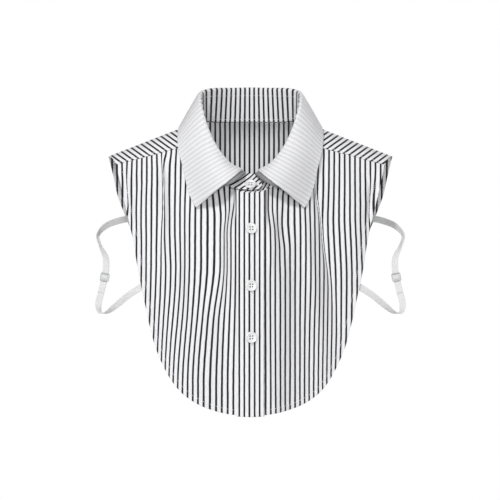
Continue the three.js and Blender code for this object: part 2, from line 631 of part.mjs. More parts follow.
// A geometry as a solid for cutting, and back
function solid(geometry) {
  const bare = geometry.clone();
  bare.deleteAttribute("normal");
  bare.deleteAttribute("uv");
  const merged = mergeVertices(bare);
  return new wasm.Manifold(new wasm.Mesh({
    numProp: 3,
    vertProperties: merged.attributes.position.array,
    triVerts: new Uint32Array(merged.index.array),
  }));
}

function geometryOf(made) {
  const { vertProperties, triVerts } = made.getMesh();
  const geometry = new THREE.BufferGeometry();
  geometry.setAttribute("position", new THREE.BufferAttribute(vertProperties, 3));
  geometry.setIndex(new THREE.BufferAttribute(triVerts, 1));
  geometry.computeVertexNormals();
  return geometry;
}

// A four-hole shirt button, its back at y = 0
function button() {
  const profile = BUTTON_PROFILE.map(
    ({ radius, height }) => new THREE.Vector2(radius * BUTTON_RADIUS, height * BUTTON_HEIGHT),
  );
  const drill = 3 * BUTTON_HEIGHT; // longer than the button is thick
  const offset = BUTTON_HOLE_PITCH / 2;
  let body = solid(new THREE.LatheGeometry(profile, STEPS.button));
  for (const x of [-1, 1])
    for (const z of [-1, 1]) {
      const hole = new THREE.CylinderGeometry(
        BUTTON_HOLE_RADIUS, BUTTON_HOLE_RADIUS, drill, STEPS.hole,
      ).translate(x * offset, 0, z * offset);
      body = body.subtract(solid(hole));
    }
  return geometryOf(body);
}

// The strap's centre line and the normal of its flat face, from the back panel to the front
function strapLine(side) {
  const [topZ, footZ] = [NECK_RISE - STRAP_TOP, NECK_RISE - STRAP_FOOT];
  const behind = -CLOTH - STRAP_GAP - STRAP_THICK / 2;
  const sewn = (panel, z, inset) => {
    const x = (panel === BACK ? backHalfWidth(z) : frontHalfWidth(z)) - inset;
    const turn = turnAt(panel, x, z);
    const lift = panel === FRONT ? foldLift(side * x, z) : 0;
    return { point: onForm(x, turn, lift + behind), normal: formNormal(x, turn).multiplyScalar(-1) };
  };
  const start = [sewn(BACK, topZ, STRAP_SEWN), sewn(BACK, topZ, STRAP_SEWN_EDGE)];
  const end = [sewn(FRONT, footZ, 0), sewn(FRONT, footZ + STRAP_SLANT, STRAP_SEWN)];
  const [high, low] = [start[1].point, end[0].point];
  const middle = STRAP.map(({ out, down, deep }) => new THREE.Vector3(
    low.x + out * STRAP_REACH, mix(high.y, low.y, deep), mix(high.z, low.z, down)));
  const mirror = (p) => new THREE.Vector3(side * p.x, p.y, p.z);
  const points = [...start.map((s) => s.point), ...middle, ...end.map((s) => s.point)].map(mirror);
  const curve = new THREE.CatmullRomCurve3(points, false, "centripetal");
  const last = points.length - 1;
  const rollRows = [
    { at: 0, normal: start[0].normal }, { at: 1, normal: start[1].normal },
    ...STRAP.map(({ roll }, i) => ({ at: i + 2, roll })),
    { at: last - 1, normal: end[0].normal.multiplyScalar(-1) },
    { at: last, normal: end[1].normal.multiplyScalar(-1) },
  ];
  // Angle about the line from facing the viewer to the given normal
  const frame = (t) => {
    const along = curve.getTangent(t);
    const face = TO_VIEWER.clone().addScaledVector(along, -TO_VIEWER.dot(along)).normalize();
    return { along, face, cross: along.clone().cross(face) };
  };
  const rolls = rollRows.map(({ at, normal, roll }, i) => {
    if (roll !== undefined) return { at, roll: side * roll };
    const { face, cross } = frame(at / last);
    const n = mirror(normal);
    const angle = THREE.MathUtils.radToDeg(Math.atan2(n.dot(cross), n.dot(face)));
    return { at, roll: i < 2 ? angle : side * 180 + angle };
  });
  const place = (t) => {
    const { face, cross } = frame(t);
    const roll = THREE.MathUtils.degToRad(column(rolls, "at", "roll", t * last));
    const normal = face.multiplyScalar(Math.cos(roll)).addScaledVector(cross, Math.sin(roll));
    return { point: curve.getPoint(t), normal, along: frame(t).along };
  };
  return { place, sliderShare: (SLIDER_ROW + 2) / last, length: curve.getLength() };
}

const sliderPitch = (SLIDER_HEIGHT - SLIDER_BAR) / 2;
const sliderLift = SLIDER_THICK / 2 + STRAP_THICK / 2 + SLIDER_GAP;

// The elastic band; it comes forward through the slider over the middle bar
function strap(line) {
  const middle = line.place(line.sliderShare).point;
  const rise = (t) => {
    const gap = line.place(t).point.distanceTo(middle);
    return gap < sliderPitch ? sliderLift * (1 + Math.cos((Math.PI * gap) / sliderPitch)) : 0;
  };
  const window = (SLIDER_STEPS_SHARE * SLIDER_HEIGHT) / line.length;
  const coarse = evenly(STEPS.strap).filter((t) => Math.abs(t - line.sliderShare) > window);
  const fine = evenly(STEPS.slider).map((t) => line.sliderShare + mix(-window, window, t));
  const us = [...coarse, ...fine].sort((a, b) => a - b);
  const at = (u, v) => {
    const { point, normal, along } = line.place(u);
    const across = along.clone().cross(normal);
    return point.addScaledVector(normal, rise(u))
      .addScaledVector(across, mix(-STRAP_WIDTH / 2, STRAP_WIDTH / 2, v));
  };
  return wall(at, [us, evenly(1)], -STRAP_THICK / 2, STRAP_THICK / 2);
}

// The short sewn tail of the band behind the slider
function strapTail(line) {
  const share = TAIL_LENGTH / line.length;
  const from = line.sliderShare + (SLIDER_HEIGHT / 2 + SLIDER_GAP) / line.length;
  const at = (u, v) => {
    const { point, normal, along } = line.place(from + u * share);
    const across = along.clone().cross(normal);
    return point.addScaledVector(normal, STRAP_THICK + SLIDER_GAP)
      .addScaledVector(across, mix(-STRAP_WIDTH / 2, STRAP_WIDTH / 2, v));
  };
  return wall(at, [evenly(STEPS.tail), evenly(1)], -STRAP_THICK / 2, STRAP_THICK / 2);
}

// A plate with two slots either side of its middle bar
function slider() {
  const [w, h, r] = [SLIDER_WIDTH / 2, SLIDER_HEIGHT / 2, SLIDER_BAR / 2];
  const plate = new THREE.Shape();
  plate.moveTo(-w + r, -h);
  plate.lineTo(w - r, -h);
  plate.quadraticCurveTo(w, -h, w, -h + r);
  plate.lineTo(w, h - r);
  plate.quadraticCurveTo(w, h, w - r, h);
  plate.lineTo(-w + r, h);
  plate.quadraticCurveTo(-w, h, -w, h - r);
  plate.lineTo(-w, -h + r);
  plate.quadraticCurveTo(-w, -h, -w + r, -h);
  const slotHalf = STRAP_WIDTH / 2 + SLIDER_GAP;
  for (const side of [-1, 1]) {
    const [low, high] = [SLIDER_BAR / 2, h - SLIDER_BAR].map((z) => side * z);
    plate.holes.push(new THREE.Path([
      new THREE.Vector2(-slotHalf, low), new THREE.Vector2(slotHalf, low),
      new THREE.Vector2(slotHalf, high), new THREE.Vector2(-slotHalf, high),
    ]));
  }
  return new THREE.ExtrudeGeometry(plate, {
    depth: SLIDER_THICK, bevelEnabled: false, curveSegments: STEPS.corner,
  }).translate(0, 0, -SLIDER_THICK / 2);
}

const materials = {
  striped: new THREE.MeshStandardMaterial({ color: 0xd9d9dc, roughness: 0.85, metalness: 0 }),
  collar: new THREE.MeshStandardMaterial({ color: 0xececee, roughness: 0.85, metalness: 0 }),
  elastic: new THREE.MeshStandardMaterial({ color: 0xe2e2e3, roughness: 0.75, metalness: 0 }),
  button: new THREE.MeshStandardMaterial({ color: 0xf4f4f4, roughness: 0.3, metalness: 0 }),
  plastic: new THREE.MeshStandardMaterial({ color: 0xe6e6e8, roughness: 0.3, metalness: 0 }),
};

const bib = new THREE.Group();

function add(name, geometry, material) {
  const mesh = new THREE.Mesh(geometry, materials[material]);
  mesh.name = name;
  bib.add(mesh);
  return mesh;
}

add("front_right", frontPanel(-1, RIGHT_EDGE), "striped");
add("front_left", frontPanel(1, -UNDER_LAP), "striped");
add("placket", placket(), "striped");
add("yoke", yoke(), "striped");
add("back_panel", backPanel(), "striped");
add("collar_stand", collarStand(), "striped");
add("collar_fall", collarFall(), "collar");

// A button's axis is turned to the cloth's normal at its seat
function addButton(name, seat, normal) {
  const mesh = add(name, button(), "button");
  mesh.position.copy(seat);
  mesh.quaternion.setFromUnitVectors(new THREE.Vector3(0, 1, 0), normal);
}

BUTTON_DROPS.forEach((drop, i) => {
  const turn = turnAt(FRONT, 0, NECK_RISE - drop);
  const lift = LAYER_GAP + PLACKET_CLOTH + BUTTON_SEAT;
  addButton(`button_${i + 1}`, onForm(0, turn, lift), formNormal(0, turn));
});
const neckButton = standFrame(-Math.PI);
addButton(
  "button_neck",
  standPoint(-Math.PI, NECK_BUTTON_SHARE)
    .addScaledVector(neckButton.out, STAND_CLOTH / 2 + BUTTON_SEAT),
  neckButton.out,
);

for (const [name, side] of [["right", -1], ["left", 1]]) {
  const line = strapLine(side);
  add(`strap_${name}`, strap(line), "elastic");
  add(`strap_tail_${name}`, strapTail(line), "elastic");
  const { point, normal, along } = line.place(line.sliderShare);
  const mesh = add(`slider_${name}`, slider(), "plastic");
  mesh.position.copy(point).addScaledVector(normal, sliderLift);
  mesh.quaternion.setFromRotationMatrix(
    new THREE.Matrix4().makeBasis(along.clone().cross(normal), along, normal),
  );
}

export default bib;
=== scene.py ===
"""Looks of a striped bib collar: a false shirt front with collar, placket, yoke, back and side straps.

Sizes are written in millimetres, as a dressmaker notes them, and turned to metres as a mesh is made.
The front faces -Y and the origin is the middle of the neck opening.
"""

import json
import logging
import math
from dataclasses import dataclass, field
from enum import Enum
from typing import Sequence

import bmesh
import bpy
import numpy as np
from mathutils import Matrix, Vector

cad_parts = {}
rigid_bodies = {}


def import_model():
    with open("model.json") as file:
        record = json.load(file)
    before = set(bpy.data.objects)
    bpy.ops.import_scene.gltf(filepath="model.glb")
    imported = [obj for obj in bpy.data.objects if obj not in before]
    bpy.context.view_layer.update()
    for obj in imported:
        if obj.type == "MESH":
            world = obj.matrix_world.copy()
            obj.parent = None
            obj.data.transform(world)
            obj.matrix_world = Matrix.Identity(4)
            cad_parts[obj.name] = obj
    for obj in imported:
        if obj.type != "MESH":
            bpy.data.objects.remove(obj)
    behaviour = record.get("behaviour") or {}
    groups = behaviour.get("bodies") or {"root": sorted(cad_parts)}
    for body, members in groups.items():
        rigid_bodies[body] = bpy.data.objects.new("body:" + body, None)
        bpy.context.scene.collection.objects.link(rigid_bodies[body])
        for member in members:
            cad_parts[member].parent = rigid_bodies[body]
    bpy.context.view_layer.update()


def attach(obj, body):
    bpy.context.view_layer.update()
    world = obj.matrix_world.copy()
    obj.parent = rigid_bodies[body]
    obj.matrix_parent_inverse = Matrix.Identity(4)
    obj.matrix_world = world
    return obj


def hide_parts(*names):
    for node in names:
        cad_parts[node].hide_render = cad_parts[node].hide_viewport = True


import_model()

Grid = np.ndarray
Row = tuple[float, ...]
MM = 0.001
BODY = "root"
# The first stripe's distance from the centre line in mm
STRIPE_START = 1.1
# A turned hem stands a second layer proud, in mm, over a short slope
HEM_RISE = 0.28
HEM_SLOPE = 0.8
log = logging.getLogger("bib_collar")


# Curves and tables


def mix(a: Grid | float, b: Grid | float, t: Grid | float) -> Grid | float:
    """Returns the value a share t of the way from a to b."""
    return a + (b - a) * t


def smooth(t: Grid | float) -> Grid:
    """Returns an eased step from 0 to 1 as t goes from 0 to 1."""
    t = np.clip(t, 0.0, 1.0)
    return t * t * (3 - 2 * t)


def unit(v: Grid) -> Grid:
    """Returns vectors scaled to length one."""
    return v / np.maximum(np.linalg.norm(v, axis=-1, keepdims=True), 1e-12)


def distance_along(points: Grid) -> Grid:
    """Returns how far along a line of points each of them lies."""
    return np.concatenate([[0], np.cumsum(np.linalg.norm(np.diff(points, axis=0), axis=1))])


def column(rows: Sequence[Row], number: int, at: Grid | float) -> Grid:
    """Reads one column of a table on a smooth curve through its rows.

    Args:
        rows: The table. Its first column rises.
        number: Which column to read.
        at: Values of the first column.

    Returns:
        The column's values there.
    """
    table = np.array(rows, float)
    key, value = table[:, 0], table[:, number]
    last = len(key) - 1
    at = np.asarray(at, float)
    low = np.maximum(np.arange(last + 1) - 1, 0)
    high = np.minimum(np.arange(last + 1) + 1, last)
    slope = (value[high] - value[low]) / (key[high] - key[low])
    i = np.clip(np.searchsorted(key, at, side="left") - 1, 0, last - 1)
    span = key[i + 1] - key[i]
    t = np.clip((at - key[i]) / span, 0, 1)
    t2, t3 = t * t, t * t * t
    return (
        (2 * t3 - 3 * t2 + 1) * value[i]
        + (t3 - 2 * t2 + t) * span * slope[i]
        + (3 * t2 - 2 * t3) * value[i + 1]
        + (t3 - t2) * span * slope[i + 1]
    )


class SmoothLine:
    """A centripetal curve through points, with a table of its length."""

    def __init__(self, points: Sequence[Sequence[float]]) -> None:
        """Lays the curve.

        Args:
            points: What it goes through, in order.
        """
        p = np.array(points, float)
        self.points = np.vstack([2 * p[0] - p[1], p, 2 * p[-1] - p[-2]])
        self.spans = len(p) - 1
        self.shares = np.linspace(0, 1, 120 * self.spans + 1)
        self.dense = self.at(self.shares)
        self.lengths = distance_along(self.dense)
        self.length = float(self.lengths[-1])

    def at(self, share: Grid | float) -> Grid:
        """Reads the curve by its spans.

        Args:
            share: Shares of the span count.

        Returns:
            Points there.
        """
        where = np.clip(np.asarray(share, float), 0, 1) * self.spans
        i = np.minimum(where.astype(int), self.spans - 1)
        w = (where - i)[..., None]
        p0, p1, p2, p3 = (self.points[i + k] for k in range(4))
        pairs = ((p0, p1), (p1, p2), (p2, p3))
        gap = [np.sqrt(np.linalg.norm(b - a, axis=-1, keepdims=True)) for a, b in pairs]
        d0, d1, d2 = (np.maximum(g, 1e-4) for g in gap)
        t1 = ((p1 - p0) / d0 - (p2 - p0) / (d0 + d1) + (p2 - p1) / d1) * d1
        t2 = ((p2 - p1) / d1 - (p3 - p1) / (d1 + d2) + (p3 - p2) / d2) * d1
        return (
            p1 + t1 * w + (-3 * p1 + 3 * p2 - 2 * t1 - t2) * w**2 + (2 * p1 - 2 * p2 + t1 + t2) * w**3
        )

    def at_length(self, share: Grid | float) -> Grid:
        """Returns points at shares of the length."""
        along = np.interp(np.asarray(share, float) * self.length, self.lengths, self.shares)
        return self.at(along)


def rounded_steps(steps: int, length: float, edge: float = 0.7) -> Grid:
    """Makes grid shares from 0 to 1 that crowd at both ends, where a cloth edge is rounded.

    Args:
        steps: How many even steps lie between.
        length: Length of the grid line in mm.
        edge: Width of the rounding in mm.

    Returns:
        The shares.
    """
    near = edge / length * np.array([0.0, 0.12, 0.4, 1.0])
    even = np.linspace(0, 1, steps + 1)
    inner = even[(even > near[-1] * 1.3) & (even < 1 - near[-1] * 1.3)]
    return np.concatenate([near, inner, 1 - near[::-1]])


def edge_roundness(shares: Grid, length: float, edge: float = 0.7) -> Grid:
    """Returns how thick the cloth is at each share, from 0.1 on an edge to 1 inside it."""
    inward = np.minimum(shares, 1 - shares) * length / edge
    return np.maximum(np.sqrt(1 - (1 - np.clip(inward, 0, 1)) ** 2), 0.1)


def wall_roundness(u: Grid, width: float, v: Grid, length: float) -> Grid:
    """Returns how thick a piece of cloth is over its grid, thin on all four edges."""
    return edge_roundness(u, width)[:, None] * edge_roundness(v, length)[None]


# Meshes


def link(name: str, mesh: bpy.types.Mesh, nodes: Sequence[str] = ()) -> bpy.types.Object:
    """Puts a mesh in the scene as a piece of the bib.

    Args:
        name: The piece's name.
        mesh: Its mesh.
        nodes: The solids that it stands for.

    Returns:
        The new object.
    """
    piece = bpy.data.objects.new(name, mesh)
    bpy.context.scene.collection.objects.link(piece)
    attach(piece, BODY)
    if nodes:
        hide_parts(*nodes)
    log.info("%s: %d faces", name, len(mesh.polygons))
    return piece


def make_mesh(
    name: str, points: Grid, faces: Sequence[Sequence[int]], cloth: Grid | None = None
) -> bpy.types.Mesh:
    """Makes a smooth mesh in metres from points in mm.

    Args:
        name: The mesh's name.
        points: Its points, one a row.
        faces: Its faces as rows of point numbers.
        cloth: Each point's place in the cloth in mm: across the stripes, along them, tone.

    Returns:
        The mesh.
    """
    mesh = bpy.data.meshes.new(name)
    mesh.from_pydata((points * MM).tolist(), [], [list(map(int, f)) for f in faces])
    if cloth is not None:
        layer = mesh.attributes.new("cloth", "FLOAT_VECTOR", "POINT")
        layer.data.foreach_set("vector", np.asarray(cloth, np.float32).ravel())
    mesh.polygons.foreach_set("use_smooth", [True] * len(mesh.polygons))
    mesh.set_sharp_from_angle(angle=math.radians(60))
    mesh.update()
    return mesh


def grid_normals(grid: Grid) -> Grid:
    """Returns the unit normals of a grid of points, rows first."""
    return unit(np.cross(np.gradient(grid, axis=0), np.gradient(grid, axis=1)))


@dataclass
class Cloth:
    """A wall of cloth as a grid of its middle points and the places that they have in the cut cloth."""

    name: str
    grid: Grid
    across: Grid
    along: Grid
    low: Grid | float
    high: Grid | float
    inner_across: Grid | None = None
    tone: Grid | float = 0.0
    inner_tone: Grid | float = 0.0

    def mesh(self) -> bpy.types.Mesh:
        """Makes the closed wall.

        Returns:
            Its mesh, the outer side along the grid's normals.
        """
        nu, nv = self.grid.shape[:2]
        normals = grid_normals(self.grid)
        shape = (nu, nv)
        layers = []
        places = []
        inner = self.across if self.inner_across is None else self.inner_across
        sides = ((self.low, inner, self.inner_tone), (self.high, self.across, self.tone))
        for lift, across, tone in sides:
            layers.append((self.grid + normals * np.broadcast_to(lift, shape)[..., None]).reshape(-1, 3))
            place = [np.broadcast_to(a, shape) for a in (across, self.along, tone)]
            places.append(np.stack(place, -1).reshape(-1, 3))
        number = np.arange(2 * nu * nv).reshape(2, nu, nv)
        inside, outside = number
        faces = [
            _quads(outside[:-1, :-1], outside[1:, :-1], outside[1:, 1:], outside[:-1, 1:]),
            _quads(inside[:-1, :-1], inside[:-1, 1:], inside[1:, 1:], inside[1:, :-1]),
            _quads(inside[:-1, 0], inside[1:, 0], outside[1:, 0], outside[:-1, 0]),
            _quads(outside[:-1, -1], outside[1:, -1], inside[1:, -1], inside[:-1, -1]),
            _quads(outside[0, :-1], outside[0, 1:], inside[0, 1:], inside[0, :-1]),
            _quads(inside[-1, :-1], inside[-1, 1:], outside[-1, 1:], outside[-1, :-1]),
        ]
        return make_mesh(self.name, np.vstack(layers), np.vstack(faces), np.vstack(places))


def _quads(a: Grid, b: Grid, c: Grid, d: Grid) -> Grid:
    """Returns faces from four equal arrays of corners."""
    return np.stack([a.ravel(), b.ravel(), c.ravel(), d.ravel()], -1)


def tube(path: Grid, radius: float | Grid, sides: int = 8, closed: bool = False) -> tuple[Grid, list]:
    """Makes a round tube along a path.

    Args:
        path: Points of its middle line in mm.
        radius: Its radius in mm, one for all or one a point.
        sides: Number of sides.
        closed: Whether the path is a ring.

    Returns:
        The points and the faces.
    """
    n = len(path)
    if closed:
        tangent = unit(np.roll(path, -1, 0) - np.roll(path, 1, 0))
    else:
        tangent = unit(np.gradient(path, axis=0))
    guide = np.array([0.3, -0.8, 0.52])
    first = unit(np.cross(tangent, guide))
    second = np.cross(tangent, first)
    turn = np.linspace(0, 2 * math.pi, sides, endpoint=False)
    ring = np.cos(turn)[None, :, None] * first[:, None] + np.sin(turn)[None, :, None] * second[:, None]
    radii = np.broadcast_to(np.asarray(radius, float), (n,))[:, None, None]
    points = (path[:, None] + ring * radii).reshape(-1, 3)
    number = np.arange(n * sides).reshape(n, sides)
    if closed:
        number = np.vstack([number, number[:1]])
    after = np.roll(number, -1, 1)
    faces = list(_quads(number[:-1], after[:-1], after[1:], number[1:]))
    if not closed:
        faces += [list(number[0][::-1]), list(number[-1])]
    return points, faces


def join(parts: Sequence[tuple[Grid, Sequence]]) -> tuple[Grid, list]:
    """Joins several point and face sets into one.

    Args:
        parts: Points and faces of each.

    Returns:
        The points and the faces of all.
    """
    points, faces, start = [], [], 0
    for p, f in parts:
        points.append(p)
        faces += [[int(i) + start for i in face] for face in f]
        start += len(p)
    return np.vstack(points), faces


# Materials


def linear(code: str) -> tuple[float, float, float, float]:
    """Turns an sRGB hex colour to linear red, green, blue and alpha."""
    parts = [int(code[i : i + 2], 16) / 255 for i in (1, 3, 5)]
    return (*(c / 12.92 if c <= 0.04045 else ((c + 0.055) / 1.055) ** 2.4 for c in parts), 1.0)


def add(
    tree: bpy.types.NodeTree,
    kind: str,
    inputs: dict[int | str, object] | None = None,
    out: int | str = 0,
    **settings: object,
) -> bpy.types.NodeSocket | None:
    """Adds a node to a tree with its settings and links.

    Args:
        tree: The material's node tree.
        kind: The node's type, without its ShaderNode prefix.
        inputs: Values, or sockets to link, by input.
        out: The output to return.
        settings: The node's own properties.

    Returns:
        One output socket of the new node, or None where it has none.
    """
    made = tree.nodes.new(f"ShaderNode{kind}")
    for key, value in settings.items():
        setattr(made, key, value)
    for key, value in (inputs or {}).items():
        if isinstance(value, bpy.types.NodeSocket):
            tree.links.new(value, made.inputs[key])
        else:
            made.inputs[key].default_value = value
    return made.outputs[out] if len(made.outputs) else None


def new_material(name: str) -> tuple[bpy.types.Material, bpy.types.NodeTree]:
    """Makes an empty node material.

    Args:
        name: The finish's name.

    Returns:
        The material and its node tree.
    """
    material = bpy.data.materials.new(name)
    material.use_nodes = True
    material.node_tree.nodes.clear()
    return material, material.node_tree


class Weave(Enum):
    """How a textile is made: the threads per crossing differ."""

    PLAIN = 0.5
    RIBBED = 0.9


@dataclass(frozen=True)
class StripedPoplin:
    """Cotton poplin, woven with coloured warp stripes. It is matt, with a fine even grain."""

    name: str = "striped_cotton_poplin"
    ground: str = "#d6d6d8"
    stripe: str = "#1c1c1f"
    pinstripe: str = "#acacaf"
    period: float = 5.95
    width: float = 2.25
    softness: float = 0.3
    pin_at: float = 2.25
    pin_width: float = 0.28
    wander: float = 0.5
    roughness: float = 0.88

    def build(self) -> bpy.types.Material:
        """Draws the stripes from the piece's place in the cut cloth.

        Returns:
            The material.
        """
        material, tree = new_material(self.name)
        place = add(tree, "Attribute", attribute_name="cloth", out="Vector")
        across = add(tree, "SeparateXYZ", {0: place}, 0)
        along = add(tree, "SeparateXYZ", {0: place}, 1)
        tone = add(tree, "SeparateXYZ", {0: place}, 2)
        # The yarns do not run quite straight
        wander = add(tree, "TexNoise", {"Vector": place, "Scale": 0.11, "Detail": 2.0})
        shift = add(tree, "Math", {0: wander, 1: 0.5}, operation="SUBTRACT")
        across_yarn = add(tree, "Math", {0: shift, 1: self.wander, 2: across}, operation="MULTIPLY_ADD")
        distance = add(tree, "Math", {0: across_yarn, 1: self.period / 2}, operation="PINGPONG")
        half, soft = self.width / 2, self.softness
        band = add(
            tree, "MapRange", {0: distance, 1: half - soft, 2: half + soft, 3: 1.0, 4: 0.0},
            interpolation_type="SMOOTHSTEP",
        )
        pin_offset = add(tree, "Math", {0: distance, 1: self.pin_at}, operation="SUBTRACT")
        pin_distance = add(tree, "Math", {0: pin_offset}, operation="ABSOLUTE")
        pin = add(
            tree, "MapRange", {0: pin_distance, 1: 0.0, 2: self.pin_width, 3: 0.75, 4: 0.0},
            interpolation_type="SMOOTHSTEP",
        )
        # Slubs: single yarns run a little paler or darker along their length
        stretched = add(tree, "VectorMath", {0: place, 1: (2.2, 0.16, 0.0)}, operation="MULTIPLY")
        slub = add(tree, "TexNoise", {"Vector": stretched, "Scale": 1.0, "Detail": 3.0})
        slub_value = add(tree, "MapRange", {0: slub, 1: 0.3, 2: 0.7, 3: 0.94, 4: 1.04})
        yarns = {6: linear(self.ground), 7: linear(self.pinstripe), 0: pin}
        ground = add(tree, "Mix", yarns, 2, data_type="RGBA")
        # The paler collar cloth has the same stripe faded by its tone
        faded = add(
            tree, "Mix", {6: linear(self.stripe), 7: linear("#bfbfc2"), 0: tone}, 2, data_type="RGBA"
        )
        striped = add(tree, "Mix", {6: ground, 7: faded, 0: band}, 2, data_type="RGBA")
        coloured = add(
            tree, "Mix", {6: striped, 7: slub_value, 0: 1.0}, 2, data_type="RGBA", blend_type="MULTIPLY"
        )
        height = weave_height(tree, across, along, Weave.PLAIN)
        normal = add(tree, "Bump", {"Strength": 0.35, "Distance": 0.00012, "Height": height})
        finish_cloth(tree, coloured, normal, self.roughness)
        return material


def weave_height(
    tree: bpy.types.NodeTree, across: bpy.types.NodeSocket, along: bpy.types.NodeSocket, weave: Weave
) -> bpy.types.NodeSocket:
    """Draws threads as crossed waves.

    Real poplin has a thread each 0.2 mm, which is too fine to show, so it is drawn coarser.

    Args:
        tree: The material's node tree.
        across: Place across the warp in mm.
        along: Place along the warp in mm.
        weave: The thread spacing.

    Returns:
        The height, from -1 to 1.
    """
    turn = 2 * math.pi / weave.value
    warp, weft = (
        add(tree, "Math", {0: add(tree, "Math", {0: place, 1: turn}, operation="MULTIPLY")}, operation="SINE")
        for place in (across, along)
    )
    if weave is Weave.RIBBED:
        return add(tree, "Math", {0: weft, 1: 0.25, 2: warp}, operation="MULTIPLY_ADD")
    return add(tree, "Math", {0: warp, 1: weft}, operation="MULTIPLY")


def finish_cloth(
    tree: bpy.types.NodeTree, colour: bpy.types.NodeSocket, normal: bpy.types.NodeSocket, roughness: float
) -> None:
    """Ends a textile's tree with a matt shader that has the short fibres' faint sheen.

    Args:
        tree: The material's node tree.
        colour: The cloth's colour.
        normal: Its bumped normal.
        roughness: How matt it is.
    """
    shader = add(
        tree, "BsdfPrincipled",
        {
            "Base Color": colour, "Normal": normal, "Roughness": roughness, "IOR": 1.5,
            "Specular IOR Level": 0.2, "Sheen Weight": 0.12, "Sheen Roughness": 0.5,
        },
    )
    add(tree, "OutputMaterial", {0: shader})


@dataclass(frozen=True)
class KnittedElastic:
    """White polyester elastic, knitted in ribs along its length."""

    name: str = "white_knitted_elastic"
    colour: str = "#d5d5d5"
    # Colour of the painted shade in the rib grooves
    shade: str = "#c8c8ca"
    roughness: float = 0.75

    def build(self) -> bpy.types.Material:
        """Makes the finish.

        Returns:
            The material.
        """
        material, tree = new_material(self.name)
        place = add(tree, "Attribute", attribute_name="cloth", out="Vector")
        across = add(tree, "SeparateXYZ", {0: place}, 0)
        along = add(tree, "SeparateXYZ", {0: place}, 1)
        height = weave_height(tree, across, along, Weave.RIBBED)
        # Painted shade: the grooves between the ribs take the darker shade colour
        groove_shade = add(tree, "MapRange", {0: height, 1: -1.2, 2: 0.2, 3: 1.0, 4: 0.0})
        ribs = {6: linear(self.colour), 7: linear(self.shade), 0: groove_shade}
        colour = add(tree, "Mix", ribs, 2, data_type="RGBA")
        normal = add(tree, "Bump", {"Strength": 0.6, "Distance": 0.0003, "Height": height})
        finish_cloth(tree, colour, normal, self.roughness)
        return material


@dataclass(frozen=True)
class SewingThread:
    """Spun polyester thread. Its twist shows as fine slanted ridges."""

    name: str = "white_sewing_thread"
    colour: str = "#dcdcde"
    # Colour of the painted shade in the twist's grooves
    shade: str = "#c9c9cd"
    twist: float = 0.45
    roughness: float = 0.6

    def build(self) -> bpy.types.Material:
        """Makes the finish.

        Returns:
            The material.
        """
        material, tree = new_material(self.name)
        place = add(tree, "TexCoord", out="Object")
        wave = add(
            tree, "TexWave", {"Vector": place, "Scale": 1.0 / (self.twist * MM) / 6.28, "Distortion": 0.4},
            bands_direction="DIAGONAL", out="Fac",
        )
        # Painted shade: the grooves between the twist's ridges take the darker shade colour
        twist_shading = {6: linear(self.shade), 7: linear(self.colour), 0: wave}
        colour = add(tree, "Mix", twist_shading, 2, data_type="RGBA")
        normal = add(tree, "Bump", {"Strength": 0.4, "Distance": 0.00008, "Height": wave})
        finish_cloth(tree, colour, normal, self.roughness)
        return material


@dataclass(frozen=True)
class MouldedPlastic:
    """Moulded and tumbled plastic, with a soft gloss and a faint unevenness."""

    name: str
    colour: str
    shade: str
    roughness: float
    ior: float

    def build(self) -> bpy.types.Material:
        """Makes the finish.

        Returns:
            The material.
        """
        material, tree = new_material(self.name)
        place = add(tree, "TexCoord", out="Object")
        cloud = add(tree, "TexNoise", {"Vector": place, "Scale": 260.0, "Detail": 2.0})
        tints = {6: linear(self.colour), 7: linear(self.shade), 0: cloud}
        colour = add(tree, "Mix", tints, 2, data_type="RGBA")
        least, most = self.roughness - 0.05, self.roughness + 0.08
        gloss = add(tree, "MapRange", {0: cloud, 1: 0.3, 2: 0.7, 3: least, 4: most})
        normal = add(tree, "Bump", {"Strength": 0.08, "Distance": 0.0002, "Height": cloud})
        shader = add(
            tree, "BsdfPrincipled",
            {
                "Base Color": colour, "Roughness": gloss, "Normal": normal, "IOR": self.ior,
                "Coat Weight": 0.15,
            },
        )
        add(tree, "OutputMaterial", {0: shader})
        return material


@dataclass(frozen=True)
class PaintedFloor:
    """Matt pale grey studio floor."""

    name: str = "pale_studio_floor"
    colour: str = "#e6e6e6"

    def build(self) -> bpy.types.Material:
        """Makes the finish.

        Returns:
            The material.
        """
        material, tree = new_material(self.name)
        shader = add(tree, "BsdfPrincipled", {"Base Color": linear(self.colour), "Roughness": 0.9})
        add(tree, "OutputMaterial", {0: shader})
        return material


